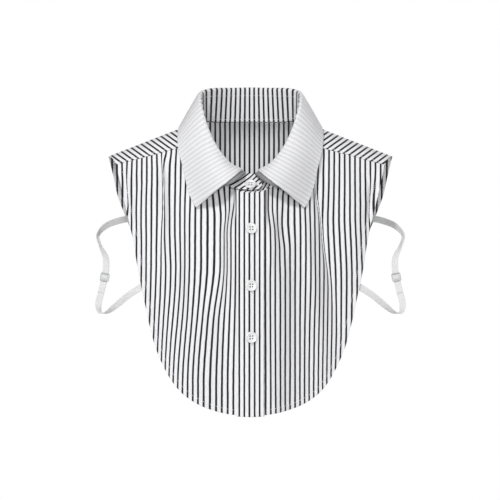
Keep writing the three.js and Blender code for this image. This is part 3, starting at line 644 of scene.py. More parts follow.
@dataclass
class Finishes:
    """The materials of the whole bib, made once."""

    poplin: bpy.types.Material = field(default_factory=lambda: StripedPoplin().build())
    # On the bias the same stripes look broader
    bias: bpy.types.Material = field(
        default_factory=lambda: StripedPoplin(name="bias_striped_cotton_poplin", width=2.45).build()
    )
    # Painted shade: the grey strips beside the leaves' leading edges stand in for the shadow under the leaves
    under: bpy.types.Material = field(
        default_factory=lambda: StripedPoplin(
            name="painted_shade_under_leaf", ground="#7a7a7d", stripe="#58585c", pinstripe="#727275",
            softness=0.8,
        ).build()
    )
    collar: bpy.types.Material = field(
        default_factory=lambda: StripedPoplin(
            name="pale_striped_cotton_poplin", ground="#d1d1d2", pinstripe="#cbcbcc", width=2.9, softness=1.1,
            wander=1.8,
        ).build()
    )
    elastic: bpy.types.Material = field(default_factory=lambda: KnittedElastic().build())
    thread: bpy.types.Material = field(default_factory=lambda: SewingThread().build())
    # The bundles through the button holes and the shank are drawn dark grey, so the holes read dark
    dark_hole_fill: bpy.types.Material = field(
        default_factory=lambda: SewingThread("dark_grey_hole_fill", "#38383b", "#242427").build()
    )
    button: bpy.types.Material = field(
        default_factory=lambda: MouldedPlastic(
            "white_polyester_resin", "#cfcfcf", "#c8c8c8", 0.22, 1.55
        ).build()
    )
    # Milky plastic drawn mid grey; the darkening is painted shade for its slots and bars
    slider: bpy.types.Material = field(
        default_factory=lambda: MouldedPlastic("milky_acetal_painted_shade", "#abadb0", "#9d9fa2", 0.3, 1.48).build()
    )


# The wearer's form


class Side(Enum):
    """Front or back of the body."""

    FRONT = -1
    BACK = 1


@dataclass(frozen=True)
class Form:
    """The neck, shoulders and chest that hold the cloth up. Sizes in mm."""

    shoulder_half: float = 171.5
    shoulder_drop: float = 44.3
    neck_half: float = 58.0
    neck_rise: float = 43.5
    neck_front_drop: float = 86.5
    neck_back_reach: float = 58.0
    neck_square: float = 2.5
    nape_square: float = 2.4
    ridge_y: float = 4.0
    front_length: float = 354.2
    back_length: float = 332.0
    yoke_front_tip: float = 12.0
    yoke_front_neck: float = 26.0
    yoke_back_depth: float = 87.0
    arm_front_half: float = 162.0
    swell_length: float = 150.0
    hang_unit: float = 100.0

    # Columns: share of the half shoulder, reach and arch height between tip (0) and centre (1)
    SECTIONS = ((0.0, 1.0, 1.0), (0.17, 0.86, 0.95), (0.34, 0.47, 0.79), (0.58, 0.24, 0.43), (1.0, 0.0, 0.0))
    # By side: reach at tip and centre, arch at tip and centre, squareness, swell
    SIDES = {Side.FRONT: (27.0, 68.0, 34.0, 90.0, 2.0, 40.0), Side.BACK: (31.0, 84.0, 36.0, 90.0, 2.8, 12.0)}
    # Columns: share of the half shoulder, share of the length, down the armhole and round the hem
    FRONT_OUTLINE = (
        (0.903, 0.24), (0.872, 0.307), (0.82, 0.413), (0.793, 0.494), (0.747, 0.603), (0.699, 0.709),
        (0.649, 0.79), (0.526, 0.9), (0.404, 0.953), (0.22, 0.988), (0.0, 1.0),
    )
    BACK_OUTLINE = (
        (0.975, 0.19), (0.938, 0.275), (0.898, 0.331), (0.81, 0.45), (0.735, 0.6), (0.655, 0.76),
        (0.5, 0.9), (0.25, 0.98), (0.0, 1.0),
    )

    def ridge(self, x: Grid | float) -> Grid:
        """Follows the shoulder's ridge.

        Args:
            x: Distance from the centre line in mm.

        Returns:
            Its height.
        """
        a = np.abs(x)
        slope = self.shoulder_drop / (self.shoulder_half - self.neck_half)
        inside = np.maximum(self.neck_half - a, 0)
        return self.neck_rise - slope * np.where(
            a >= self.neck_half, a - self.neck_half, -(inside - inside**2 / (2 * self.neck_half))
        )

    def section(self, x: Grid | float, side: Side) -> tuple[Grid, Grid, float]:
        """Reads the cloth's section over the shoulder.

        Args:
            x: Distance from the centre line in mm.
            side: Front or back.

        Returns:
            Reach, arch height and squareness.
        """
        share = np.abs(x) / self.shoulder_half
        reach_tip, reach, arch_tip, arch, square, _ = self.SIDES[side]
        return (
            mix(reach_tip, reach, column(self.SECTIONS, 1, share)),
            mix(arch_tip, arch, column(self.SECTIONS, 2, share)),
            square,
        )

    def _half(self, x: Grid, turn: Grid, side: Side) -> Grid:
        """Follows one side of the form.

        Args:
            x: Distance from the centre line in mm.
            turn: Place down from the ridge.
            side: Front or back.

        Returns:
            Points.
        """
        reach, arch, square = self.section(x, side)
        angle = np.minimum(turn, 1) * math.pi / 2
        hang = np.maximum(turn - 1, 0) * self.hang_unit
        drop = arch * (1 - np.maximum(np.cos(angle), 0) ** (2 / square)) + hang
        flank = 1 - 0.6 * (x / self.shoulder_half) ** 2
        swell = self.SIDES[side][5] * flank * smooth((drop - arch / 2) / self.swell_length)
        out = reach * np.sin(angle) ** (2 / square) + swell
        return np.stack([x, self.ridge_y + side.value * out, self.ridge(x) - drop], -1)

    def point(self, x: Grid | float, turn: Grid | float) -> Grid:
        """Follows the whole form.

        Args:
            x: Distance from the centre line in mm.
            turn: Place over the shoulder, 0 on the ridge, below 0 in front.

        Returns:
            Points.
        """
        x, turn = np.broadcast_arrays(np.asarray(x, float), np.asarray(turn, float))
        front = self._half(x, np.maximum(-turn, 0), Side.FRONT)
        back = self._half(x, np.maximum(turn, 0), Side.BACK)
        return np.where((turn < 0)[..., None], front, back)

    def turn_at(self, side: Side, x: Grid | float, z: Grid | float) -> Grid:
        """Finds a height on one side of the form.

        Args:
            side: Front or back.
            x: Distance from the centre line in mm.
            z: Height in mm.

        Returns:
            The turn there.
        """
        _, arch, square = self.section(x, side)
        drop = np.maximum(self.ridge(x) - z, 0)
        bent = np.arccos(np.maximum(1 - drop / arch, 0) ** (square / 2)) / (math.pi / 2)
        return side.value * np.where(drop >= arch, 1 + (drop - arch) / self.hang_unit, bent)

    def normal(self, x: Grid | float, turn: Grid | float) -> Grid:
        """Finds which way the form faces.

        Args:
            x: Distance from the centre line in mm.
            turn: Place over the shoulder, 0 on the ridge, below 0 in front.

        Returns:
            Outward unit normals.
        """
        step = 0.01
        along_x = self.point(x + step * self.hang_unit, turn) - self.point(x - step * self.hang_unit, turn)
        along_turn = self.point(x, turn + step) - self.point(x, turn - step)
        return unit(np.cross(along_x, along_turn))

    def on(self, x: Grid | float, turn: Grid | float, lift: Grid | float = 0.0) -> Grid:
        """Returns points a lift outside the form."""
        return self.point(x, turn) + self.normal(x, turn) * np.asarray(lift, float)[..., None]

    def seam_drop(self, x: Grid | float) -> Grid:
        """Returns how far the front yoke seam lies below the ridge."""
        share = (self.shoulder_half - np.abs(x)) / (self.shoulder_half - self.neck_half)
        return mix(self.yoke_front_tip, self.yoke_front_neck, np.clip(share, 0, 1))

    def seam_z(self, x: Grid | float, below: float = 0.0) -> Grid:
        """Returns the height of a line below the front yoke seam."""
        return self.ridge(x) - self.seam_drop(x) - below

    def neck_edge(self, angle: Grid | float) -> tuple[Grid, Grid]:
        """Follows the neck edge.

        Args:
            angle: Places round the neck, 0 at the back, pi in front.

        Returns:
            Their x and turn.
        """
        angle = np.asarray(angle, float)
        across, to_front = np.sin(angle), -np.cos(angle)
        power = 2 / self.neck_square
        front = self.turn_at(Side.FRONT, 0.0, self.neck_rise - self.neck_front_drop)
        reach, _, square = self.section(0.0, Side.BACK)
        back = math.asin((self.neck_back_reach / float(reach)) ** (square / 2)) / (math.pi / 2)
        ahead = to_front > 0
        nape = 2 / self.nape_square
        x = self.neck_half * np.sign(across) * np.abs(across) ** np.where(ahead, power, nape)
        forward, backward = np.maximum(to_front, 0), np.maximum(-to_front, 0)
        turn = np.where(ahead, front * forward**power, back * backward**nape)
        return x, turn

    def neck_angle_at_seam(self, below: float) -> float:
        """Finds where the yoke seam meets the neck.

        Args:
            below: How far below the seam in mm.

        Returns:
            The angle round the neck.
        """
        low, high = math.pi / 2, math.pi
        for _ in range(40):
            middle = (low + high) / 2
            x, turn = self.neck_edge(middle)
            drop = self.ridge(x) - self.point(x, turn)[..., 2] - (self.seam_drop(x) + below)
            low, high = (middle, high) if drop < 0 else (low, middle)
        return (low + high) / 2

    def neck_angle_of(self, x: float) -> float:
        """Returns the front neck angle at which the edge is at x."""
        return math.pi - math.asin(math.copysign((abs(x) / self.neck_half) ** (self.neck_square / 2), x))

    def outline(self, side: Side) -> SmoothLine:
        """Lays an armhole and hem edge.

        Args:
            side: Front or back.

        Returns:
            The edge, mirrored past the centre.
        """
        if side is Side.FRONT:
            start = (self.arm_front_half, float(self.seam_z(self.arm_front_half)))
            rows, length = self.FRONT_OUTLINE, self.front_length
        else:
            start = (self.shoulder_half, float(self.ridge(self.shoulder_half)))
            rows, length = self.BACK_OUTLINE, self.back_length
        right = [start] + [(a * self.shoulder_half, self.neck_rise - d * length) for a, d in rows]
        return SmoothLine([*right, *((-x, z) for x, z in right[-2::-1])])


@dataclass(frozen=True)
class Edge:
    """An outline read by its share of length, by x or by height."""

    line: SmoothLine

    def place(self, share: Grid | float) -> Grid:
        """Returns x and z at shares of the length."""
        return self.line.at_length(share)

    def share_at_x(self, x: Grid | float) -> Grid:
        """Returns the share of length at which the outline comes in to x."""
        return np.interp(-np.asarray(x, float), -self.line.dense[:, 0], self.line.lengths / self.line.length)

    def share_at_z(self, z: Grid | float) -> Grid:
        """Finds a height on the outline.

        Args:
            z: Height in mm.

        Returns:
            The share of its length.
        """
        half = len(self.line.shares) // 2
        down = self.line.dense[:half, 1]
        return np.interp(-np.asarray(z, float), -down, self.line.lengths[:half] / self.line.length)

    def half_width(self, z: Grid | float) -> Grid:
        """Returns the outline's half width at height z."""
        return self.place(self.share_at_z(z))[..., 0]


def patch(u: Grid, v: Grid, top: Grid, foot: Grid, left: Grid, right: Grid) -> Grid:
    """Fills a four-sided patch from its side curves.

    Args:
        u: Shares across.
        v: Shares down.
        top: Points of the top edge, one for each u.
        foot: Points of the foot edge, one for each u.
        left: Points of the left edge, one for each v.
        right: Points of the right edge, one for each v.

    Returns:
        The grid of points.
    """
    uu, vv = u[:, None, None], v[None, :, None]
    corners = mix(mix(top[0], top[-1], uu), mix(foot[0], foot[-1], uu), vv)
    return mix(top[:, None], foot[:, None], vv) + mix(left[None], right[None], uu) - corners


@dataclass(frozen=True)
class Tuck:
    """Cloth caught up in a small pleat that opens along its length.

    Its rows run from top to foot: drop below the side of the neck, distance from the centre line,
    cloth hidden and softness of the pleat's line, in mm.
    """

    side: int
    rows: tuple[Row, ...]
    pull: float
    reach: float
    depth: float

    def read(self, x: Grid, drop: Grid) -> tuple[Grid, Grid, Grid]:
        """Returns the distance outward from the pleat's line, the cloth hidden and the softness."""
        line, hidden, soft = (column(self.rows, k, drop) for k in (1, 2, 3))
        return self.side * x - line, np.maximum(hidden, 0), np.maximum(soft, 0.5)

    def shift(self, x: Grid, drop: Grid) -> Grid:
        """Finds how much the pleat moves the stripes.

        Args:
            x: Distance from the centre line in mm.
            drop: Drop below the side of the neck in mm.

        Returns:
            The change of their distance from the centre line.
        """
        off, hidden, soft = self.read(x, drop)
        outer = (1 + np.tanh(off / soft)) / 2
        fade = np.exp(-np.abs(off) / self.reach)
        beyond = self.side * x > 0
        return np.where(beyond, self.side * hidden * fade * (outer - self.pull), 0.0)

    def lift(self, x: Grid, drop: Grid) -> Grid:
        """Shapes the valley and the soft roll beside it.

        Args:
            x: Distance from the centre line in mm.
            drop: Drop below the side of the neck in mm.

        Returns:
            The height in mm.
        """
        off, hidden, soft = self.read(x, drop)
        strength = hidden / max(row[2] for row in self.rows)
        valley = np.exp(-((off / (soft + 1.8)) ** 2))
        roll = np.exp(-(((off + 5.0) / 7.0) ** 2))
        return self.depth * strength * (0.6 * roll - valley) * (self.side * x > 0)


@dataclass(frozen=True)
class Creases:
    """The soft folds that the front hangs in, and the stripes' course over them."""

    form: Form
    rise: float = 4.4
    fade: float = 18.0
    placket_half: float = 16.2
    placket_blend: float = 6.0
    sway_start: float = 170.0
    sway_length: float = 150.0

    # Columns: side (-1 is the wearer's right), then the ends as shares of half width and length,
    # spread as a share of half width, rise as a share
    FOLDS = (
        (-1, 0.45, 0.21, 0.56, 0.45, 0.075, 0.6),
        (-1, 0.42, 0.27, 0.42, 0.62, 0.055, 0.9),
        (-1, 0.25, 0.24, 0.24, 0.60, 0.08, -2.1),
        (-1, 0.16, 0.16, 0.17, 0.34, 0.07, -1.7),
        (-1, 0.62, 0.17, 0.60, 0.36, 0.03, -0.9),
        (-1, 0.79, 0.20, 0.87, 0.31, 0.04, -0.7),
        (-1, 0.70, 0.22, 0.76, 0.38, 0.045, 0.5),
        (1, 0.15, 0.16, 0.14, 0.34, 0.06, -1.8),
        (1, 0.25, 0.21, 0.23, 0.40, 0.07, -1.2),
        (1, 0.17, 0.32, 0.15, 0.50, 0.045, 0.4),
        (1, 0.26, 0.29, 0.20, 0.50, 0.05, -0.4),
        (1, 0.40, 0.30, 0.45, 0.64, 0.06, 0.7),
        (1, 0.50, 0.27, 0.62, 0.72, 0.085, -1.0),
        (1, 0.51, 0.14, 0.46, 0.30, 0.03, -0.7),
        (1, 0.70, 0.18, 0.73, 0.50, 0.06, 0.5),
        (1, 0.86, 0.22, 0.84, 0.34, 0.03, -0.8),
    )
    # Soft ripples between the folds: wavelength across in mm, lean, phase, rise in mm
    RIPPLES = (
        (37.0, 0.11, 0.4, 0.3), (23.0, -0.07, 2.1, 0.2), (61.0, 0.05, 4.0, 0.45), (15.0, 0.16, 1.2, 0.1),
    )
    TUCKS = (
        Tuck(-1, ((37, 106, 0, 1.0), (57, 105.8, 5.9, 0.5), (105, 105.8, 5.9, 0.6), (150, 106, 3, 3),
                  (210, 107, 0, 8)), 0.78, 9, 1.6),
        Tuck(1, ((30, 69, 8.0, 2), (72, 76.5, 8.0, 1.4), (118, 85.3, 8.0, 1.1), (150, 89, 6.2, 1.2),
                 (186, 96.0, 3.8, 2.5), (258, 108.5, 0, 10)), 0.0, 110, 2.6),
        Tuck(1, ((60, 146, 0, 1), (85, 145.5, 3, 1.0), (104, 144.5, 4.5, 0.8), (125, 142, 2, 2),
                 (160, 139, 0, 6)), 0.5, 7, 1.2),
        Tuck(-1, ((55, 151, 0, 1), (80, 149, 3, 1.0), (100, 147, 3, 1.0), (125, 143, 0, 4)), 0.5, 6, 1.2),
        Tuck(-1, ((78, 20, 6, 1.0), (95, 19.5, 5, 1.2), (120, 17, 0, 3)), 0.0, 8, 1.6),
    )

    # Columns: place across from the centre line, how far the stripes swing to the wearer's right
    SWAY = (
        (-180, 0.0), (-140, 2.0), (-107, 6.0), (-90, 9.5), (-65, 9.5), (-40, 5.0), (-20, 2.5), (0, 0.0),
        (50, 0.0), (75, 1.5), (100, 5.0), (115, 6.0), (180, 3.0),
    )

    def lift(self, x: Grid, z: Grid) -> Grid:
        """Adds up folds, ripples and pleats.

        Args:
            x: Distance from the centre line in mm.
            z: Height in mm.

        Returns:
            How far the cloth stands out of the form in mm.
        """
        half, length = self.form.shoulder_half, self.form.front_length
        lift = np.zeros(np.broadcast(x, z).shape)
        for side, a0, d0, a1, d1, spread, rise in self.FOLDS:
            x0, z0 = side * a0 * half, self.form.neck_rise - d0 * length
            dx, dz = side * a1 * half - x0, self.form.neck_rise - d1 * length - z0
            span = math.hypot(dx, dz)
            along = ((x - x0) * dx + (z - z0) * dz) / span**2
            aside = ((x - x0) * dz - (z - z0) * dx) / span
            fade = smooth((along + 0.15) / 0.45) * smooth((1.25 - along) / 0.55)
            lift = lift + self.rise * rise * fade * np.exp(-((aside / (spread * half)) ** 2))
        for wave, lean, phase, rise in self.RIPPLES:
            lift = lift + rise * np.sin(2 * math.pi * (x + lean * z) / wave + phase + z / 90.0)
        for tuck in self.TUCKS:
            lift = lift + tuck.lift(x, self.form.neck_rise - z)
        off_placket = smooth((np.abs(x) - self.placket_half) / self.placket_blend)
        off_yoke = smooth((self.form.ridge(x) - z - self.form.seam_drop(x)) / self.fade)
        return lift * off_placket * off_yoke

    def across(self, x: Grid, z: Grid) -> Grid:
        """Lays the stripes: straight, but for pleats and sway.

        Args:
            x: Distance from the centre line in mm.
            z: Height in mm.

        Returns:
            Distance across the cut cloth in mm.
        """
        drop = self.form.neck_rise - z
        sway = column(self.SWAY, 1, x) * smooth((drop - self.sway_start) / self.sway_length)
        return x + sway + sum(tuck.shift(x, drop) for tuck in self.TUCKS)


# The pieces


@dataclass
class Fronts:
    """The two halves of the shirt front."""

    form: Form
    creases: Creases
    finishes: Finishes
    cloth: float = 0.9
    lap: float = 6.0
    right_edge: float = 14.0
    under_lap: float = 12.0
    hem: float = 6.0
    neck_share: float = 0.34
    corner_drop: float = 0.83
    size: tuple[float, float] = (155.0, 260.0)
    corner_ease: float = 0.03
    steps: tuple[int, int] = (120, 170)

    def half(self, name: str, side: int, inner: float) -> bpy.types.Object:
        """Builds one half from its inner edge to the armhole.

        Args:
            name: The node that it stands for.
            side: -1 for the wearer's right, 1 for the left.
            inner: Its inner edge from the centre line in mm.

        Returns:
            The piece.
        """
        edge = Edge(self.form.outline(Side.FRONT))
        form = self.form
        width, length = self.size
        u, v = rounded_steps(self.steps[0], width), rounded_steps(self.steps[1], length)
        start, end = form.neck_angle_of(inner), form.neck_angle_at_seam(-self.lap)
        corner = np.array([form.arm_front_half, float(form.seam_z(form.arm_front_half, -self.lap))])
        neck_x, neck_turn = form.neck_edge(mix(start, end, np.minimum(u / self.neck_share, 1)))
        neck = form.point(neck_x, neck_turn)[..., [0, 2]]
        seam_x = mix(neck_x[-1], corner[0], np.clip((u - self.neck_share) / (1 - self.neck_share), 0, 1))
        seam = np.stack([seam_x, form.seam_z(seam_x, -self.lap)], -1)
        top = np.where((u < self.neck_share)[:, None], neck, seam)
        hem_corner = float(edge.share_at_z(form.neck_rise - form.front_length * self.corner_drop))
        foot = edge.place(mix(float(edge.share_at_x(inner)), hem_corner, u))
        left = np.stack([np.full_like(v, inner), mix(top[0, 1], foot[0, 1], v)], -1)
        right = edge.place(hem_corner * v)
        near = v < self.corner_ease
        right[near, 1] += self.lap * (1 - v[near] / self.corner_ease)
        flat = patch(u, v, top, foot, left, right)
        x, z = side * flat[..., 0], flat[..., 1]
        grid = form.on(x, form.turn_at(Side.FRONT, x, z), self.creases.lift(x, z))
        thick = wall_roundness(u, width, v, length)
        from_edge = np.minimum((1 - v[None]) * length, (1 - u[:, None]) * width)
        hem = HEM_RISE * smooth((self.hem - from_edge) / HEM_SLOPE)
        across = self.creases.across(x, z)
        along = np.broadcast_to(z, x.shape)
        if side > 0:
            grid, across, along, thick, hem = (a[:, ::-1] for a in (grid, across, along, thick, hem))
        cloth = Cloth(name, grid, across, along, -self.cloth * thick, hem * thick)
        piece = link(f"cloth_{name}", cloth.mesh(), [name])
        piece.data.materials.append(self.finishes.poplin)
        return piece

    def build(self) -> None:
        """Builds both halves."""
        self.half("front_right", -1, self.right_edge)
        self.half("front_left", 1, -self.under_lap)


@dataclass
class Placket:
    """The strip that carries the buttonholes, with its folds and stitching."""

    form: Form
    finishes: Finishes
    width: float = 33.0
    cloth: float = 1.1
    lift: float = 0.25
    drop: float = 1.5
    relief: float = 1.2
    length: float = 270.0
    edge_fold: float = 4.0
    edge_rise: float = 0.3
    steps: tuple[int, int] = (26, 150)

    def line(self, x: Grid | float, share: Grid | float, out: float) -> Grid:
        """Follows the placket.

        Args:
            x: Distance from the centre line in mm.
            share: Place along it, 0 at the hem and 1 at the neck.
            out: Height over its under side in mm.

        Returns:
            Points.
        """
        form = self.form
        edge = Edge(form.outline(Side.FRONT))
        x = np.asarray(x, float)
        angle = math.pi - np.arcsin(np.sign(x) * (np.abs(x) / form.neck_half) ** (form.neck_square / 2))
        neck = form.point(*form.neck_edge(angle))[..., 2] - self.relief
        hem = edge.place(edge.share_at_x(np.abs(x)))[..., 1] - self.drop
        z = mix(hem, neck, share)
        return form.on(x, form.turn_at(Side.FRONT, x, z), self.lift + out)

    def build(self) -> None:
        """Builds the strip."""
        u, v = rounded_steps(self.steps[0], self.width), rounded_steps(self.steps[1], self.length)
        x = mix(-self.width / 2, self.width / 2, u)[:, None] * np.ones_like(v)[None]
        # Each long edge is folded and stitched 3 mm in, so the middle is a little lower
        inward = np.minimum(u, 1 - u) * self.width
        ridge = self.edge_rise * smooth((self.edge_fold - inward) / 1.2)[:, None]
        grid = self.line(x, v[None] * np.ones_like(x), 0.0)
        thick = wall_roundness(u, self.width, v, self.length)
        along = grid[..., 2]
        cloth = Cloth("placket", grid, x + STRIPE_START, along, 0.0, (self.cloth + ridge) * thick)
        piece = link("cloth_placket", cloth.mesh(), ["placket"])
        piece.data.materials.append(self.finishes.poplin)


@dataclass
class Yoke:
    """One piece over both shoulders and the upper back, cut on the back's grain."""

    form: Form
    finishes: Finishes
    cloth: float = 1.0
    lift: float = 0.15
    tip_share: float = 0.12
    back_share: float = 0.3
    slant: float = 0.92
    size: tuple[float, float] = (700.0, 110.0)
    steps: tuple[int, int] = (260, 60)

    def outer(self, u: Grid) -> Grid:
        """Follows the armholes and the back edge.

        Args:
            u: Shares of the way from right to left.

        Returns:
            Their x and turn.
        """
        form, edge = self.form, Edge(self.form.outline(Side.BACK))
        side = np.where(u < 0.5, -1.0, 1.0)
        t = np.minimum(u, 1 - u)
        seam_turn = form.turn_at(Side.FRONT, form.arm_front_half, form.seam_z(form.arm_front_half))
        tip = t / self.tip_share
        share = np.clip((t - self.tip_share) / (self.back_share - self.tip_share), 0, 1)
        z = mix(form.ridge(form.shoulder_half), form.neck_rise - form.yoke_back_depth, share**1.6)
        width = np.where(share > 0, edge.half_width(z), form.shoulder_half)
        inward = np.clip((0.5 - t) / (0.5 - self.back_share), 0, 1)
        back_x = np.where(t < self.back_share, width, width * inward)
        front = t < self.tip_share
        x = np.where(front, mix(form.arm_front_half, form.shoulder_half, np.minimum(tip, 1)), back_x)
        turn = np.where(front, mix(seam_turn, 0.0, np.minimum(tip, 1)), form.turn_at(Side.BACK, back_x, z))
        return np.stack([side * x, turn], -1)

    def build(self) -> None:
        """Builds the yoke with the stripes that its flat cut gives it."""
        form = self.form
        width, length = self.size
        u, v = rounded_steps(self.steps[0], width), rounded_steps(self.steps[1], length)
        angle = form.neck_angle_at_seam(0.0)
        neck = np.stack(form.neck_edge(mix(-angle, angle, u)), -1)
        seam_x = mix(form.neck_edge(angle)[0], form.arm_front_half, v)
        seam_turn = form.turn_at(Side.FRONT, seam_x, form.seam_z(seam_x))
        left, right = (np.stack([s * seam_x, seam_turn], -1) for s in (-1, 1))
        flat = patch(u, v, neck, self.outer(u), left, right)
        x, turn = flat[..., 0], flat[..., 1]
        grid = form.on(x, turn)
        thick = wall_roundness(u, width, v, length)
        low, high = self.lift * np.ones_like(x), self.lift + self.cloth * thick
        # In front of the ridge the cloth turns with the shoulder's slope, and its stripes slant
        drop = form.ridge(x) - grid[..., 2]
        run = np.where(turn < 0, drop, 0.0)
        across = np.sign(x) * (np.abs(x) + self.slant * run)
        along = np.where(turn < 0, run, -np.abs(turn) * 60)
        inner = x + STRIPE_START
        cloth = Cloth("yoke", grid, across + STRIPE_START, along, low, high, inner_across=inner)
        piece = link("cloth_yoke", cloth.mesh(), ["yoke"])
        piece.data.materials.append(self.finishes.bias)


@dataclass
class BackPanel:
    """The short back below the yoke."""

    form: Form
    finishes: Finishes
    cloth: float = 0.9
    lap: float = 6.0
    hem: float = 6.0
    corner_drop: float = 0.82
    size: tuple[float, float] = (300.0, 230.0)
    steps: tuple[int, int] = (120, 90)

    def build(self) -> None:
        """Builds the back with its hem."""
        form, edge = self.form, Edge(self.form.outline(Side.BACK))
        breadth, length = self.size
        u, v = rounded_steps(self.steps[0], breadth), rounded_steps(self.steps[1], length)
        top_z = form.neck_rise - form.yoke_back_depth + self.lap
        top_share = float(edge.share_at_z(top_z))
        corner = float(edge.share_at_z(form.neck_rise - form.back_length * self.corner_drop))
        width = float(edge.place(top_share)[0])
        top = np.stack([mix(-1, 1, u) * width, np.full_like(u, top_z)], -1)
        foot = edge.place(mix(1 - corner, corner, u))
        right = edge.place(mix(top_share, corner, v))
        left = right * np.array([-1, 1])
        flat = patch(u, v, top, foot, left, right)
        x, z = flat[..., 0], flat[..., 1]
        ripple = 0.5 * np.sin(x / 21.0 + z / 70.0) + 0.3 * np.sin(x / 9.0 - z / 110.0 + 1.0)
        ripple = ripple * smooth((top_z - 10 - z) / 60.0)
        grid = form.on(x, form.turn_at(Side.BACK, x, z), ripple)
        thick = wall_roundness(u, breadth, v, length)
        from_edge = np.minimum((1 - v[None]) * length, np.minimum(u, 1 - u)[:, None] * breadth)
        hem = HEM_RISE * smooth((self.hem - from_edge) / HEM_SLOPE)
        cloth = Cloth("back_panel", grid, x + STRIPE_START, z, -self.cloth * thick, hem * thick)
        piece = link("cloth_back_panel", cloth.mesh(), ["back_panel"])
        piece.data.materials.append(self.finishes.poplin)


@dataclass
class Collar:
    """The stand and the fall that is turned down over it."""

    form: Form
    finishes: Finishes
    height: float = 30.0
    stand_cloth: float = 1.4
    rise_front: float = 0.9
    rise_back: float = 3.0
    over_lap: float = 15.0
    under_lap: float = 13.0
    lap_blend: float = 0.5
    lap_gap: float = 1.9
    under_recess: float = 6.0
    foot_gap: float = 1.5
    bias: float = 40.0
    fall_cloth: float = 1.3
    crest: float = 7.6
    fold_radius: float = 2.4
    gap: float = 12.0
    spread: float = 32.0
    drop: float = 21.0
    roll: float = 15.0
    leaf_lift: float = 3.4
    under_roll: float = 0.9
    under_width: tuple[float, float] = (5.8, 6.4)
    under_curl: float = 1.6
    stand_length: float = 390.0
    fall_length: float = 480.0
    leaf_length: float = 66.0
    seat_depth: float = 0.4
    leaf_middle: int = 22

    # Columns: share of the turn from back to front, lean in degrees, height as a share
    STAND = (
        (0.0, 6.0, 1.08), (0.25, 4.0, 1.05), (0.38, 0.0, 0.95), (0.5, -2.0, 0.81), (0.62, -2.0, 0.76),
        (0.75, 6.0, 0.76), (0.88, 26.0, 0.82), (1.0, 44.0, 0.92),
    )
    # Columns: share of the turn, then outer edge outward and round the form, crest, roll as shares
    FALL = (
        (0.0, 0.0, 0.55, 1.0, 0.12), (0.27, 0.5, 0.5, 1.0, 0.1), (0.45, 0.74, 0.3, 0.85, 0.08),
        (0.54, 0.84, 0.1, 0.6, 0.08), (0.63, 0.98, 0.2, 0.5, 0.15), (0.72, 1.1, 0.2, 0.5, 0.3),
        (0.81, 1.2, 0.0, 0.5, 0.65), (0.9, 1.39, -0.48, 0.5, 1.4), (1.0, 1.63, -1.0, 0.35, 2.3),
    )

    def stand_frame(self, angle: Grid) -> tuple[Grid, Grid, Grid, Grid]:
        """Sets the stand up round the neck.

        Args:
            angle: Places round the neck, 0 at the back.

        Returns:
            Foot, up and outward directions, and height.
        """
        form, step = self.form, 0.01
        foot = form.point(*form.neck_edge(angle))
        along = unit(form.point(*form.neck_edge(angle + step)) - form.point(*form.neck_edge(angle - step)))
        swing = np.minimum(np.abs(angle) / math.pi, 1)
        lean = np.radians(column(self.STAND, 1, swing))[..., None]
        height = self.height * column(self.STAND, 2, swing)
        inward = np.stack([-foot[..., 0], form.ridge_y - foot[..., 1], np.zeros(foot.shape[:-1])], -1)
        up = np.array([0.0, 0.0, 1.0]) * np.cos(lean) + unit(inward) * np.sin(lean)
        out = unit(np.cross(up, along))
        return foot + up * self.foot_rise(swing)[..., None], up, out, height

    def foot_rise(self, swing: Grid) -> Grid:
        """Returns how far the stand's foot lies above the neck edge, by share of the turn."""
        return mix(self.rise_back, self.rise_front, smooth((swing - 0.6) / 0.3))

    def course(self, angle: Grid) -> Grid:
        """Lays the stripes round the neck, which at the back meet the yoke's.

        Args:
            angle: Places round the neck, 0 at the back.

        Returns:
            Their course in mm.
        """
        table = np.linspace(-3.5, 3.5, 701)
        foot = self.stand_frame(table)[0]
        step = np.linalg.norm(np.diff(foot, axis=0), axis=1)
        even = np.maximum(np.abs(np.diff(foot[:, 0])) / step, 0.62)
        course = np.concatenate([[0], np.cumsum(step * even)])
        return np.interp(angle, table, course) - np.interp(0.0, table, course)

    def stand_point(self, angle: Grid, share: Grid, above: float = 0.0, recess: float = 0.0) -> Grid:
        """Returns the middle of the stand's cloth.

        Args:
            angle: Places round the neck.
            share: Shares of the stand's height.
            above: A further rise in mm.
            recess: How far the under lap lies behind in mm.

        Returns:
            The points.
        """
        foot, up, out, height = self.stand_frame(angle)
        near = smooth((np.abs(angle) - (math.pi - self.lap_blend)) / self.lap_blend)
        lap = near * np.where(angle < 0, self.lap_gap, -recess)
        return foot + up * (height * share + above)[..., None] + out * lap[..., None]

    def build_stand(self) -> None:
        """Builds the band round the neck."""
        form = self.form
        start, end = -form.neck_angle_of(-self.over_lap), form.neck_angle_of(-self.under_lap)
        u, v = rounded_steps(260, self.stand_length), rounded_steps(24, self.height)
        angle = mix(start, end, u)
        from_end = np.minimum(angle - start, end - angle) * form.neck_half / (self.height / 2)
        corner = np.sqrt(1 - (1 - np.clip(from_end + 0.12, 0, 1)) ** 2)
        top = mix(0.62, 1.0, corner)
        # The band reaches down to its seam, which the frame's rise leaves open
        low = (self.foot_gap - self.foot_rise(np.abs(angle) / math.pi)) / self.height
        every = angle[:, None] * np.ones_like(v)
        grid = self.stand_point(every, mix(low[:, None], top[:, None], v[None]), recess=self.under_recess)
        run = distance_along(grid[:, 0])
        run = run - np.interp(0.0, angle, run)
        rise = v[None] * self.height * np.ones_like(angle)[:, None]
        # The outer layer is cut on the bias
        bias = math.radians(self.bias)
        outer = run[:, None] * math.cos(bias) + rise * math.sin(bias)
        thick = wall_roundness(u, self.stand_length, v, self.height)
        half = self.stand_cloth / 2 * thick
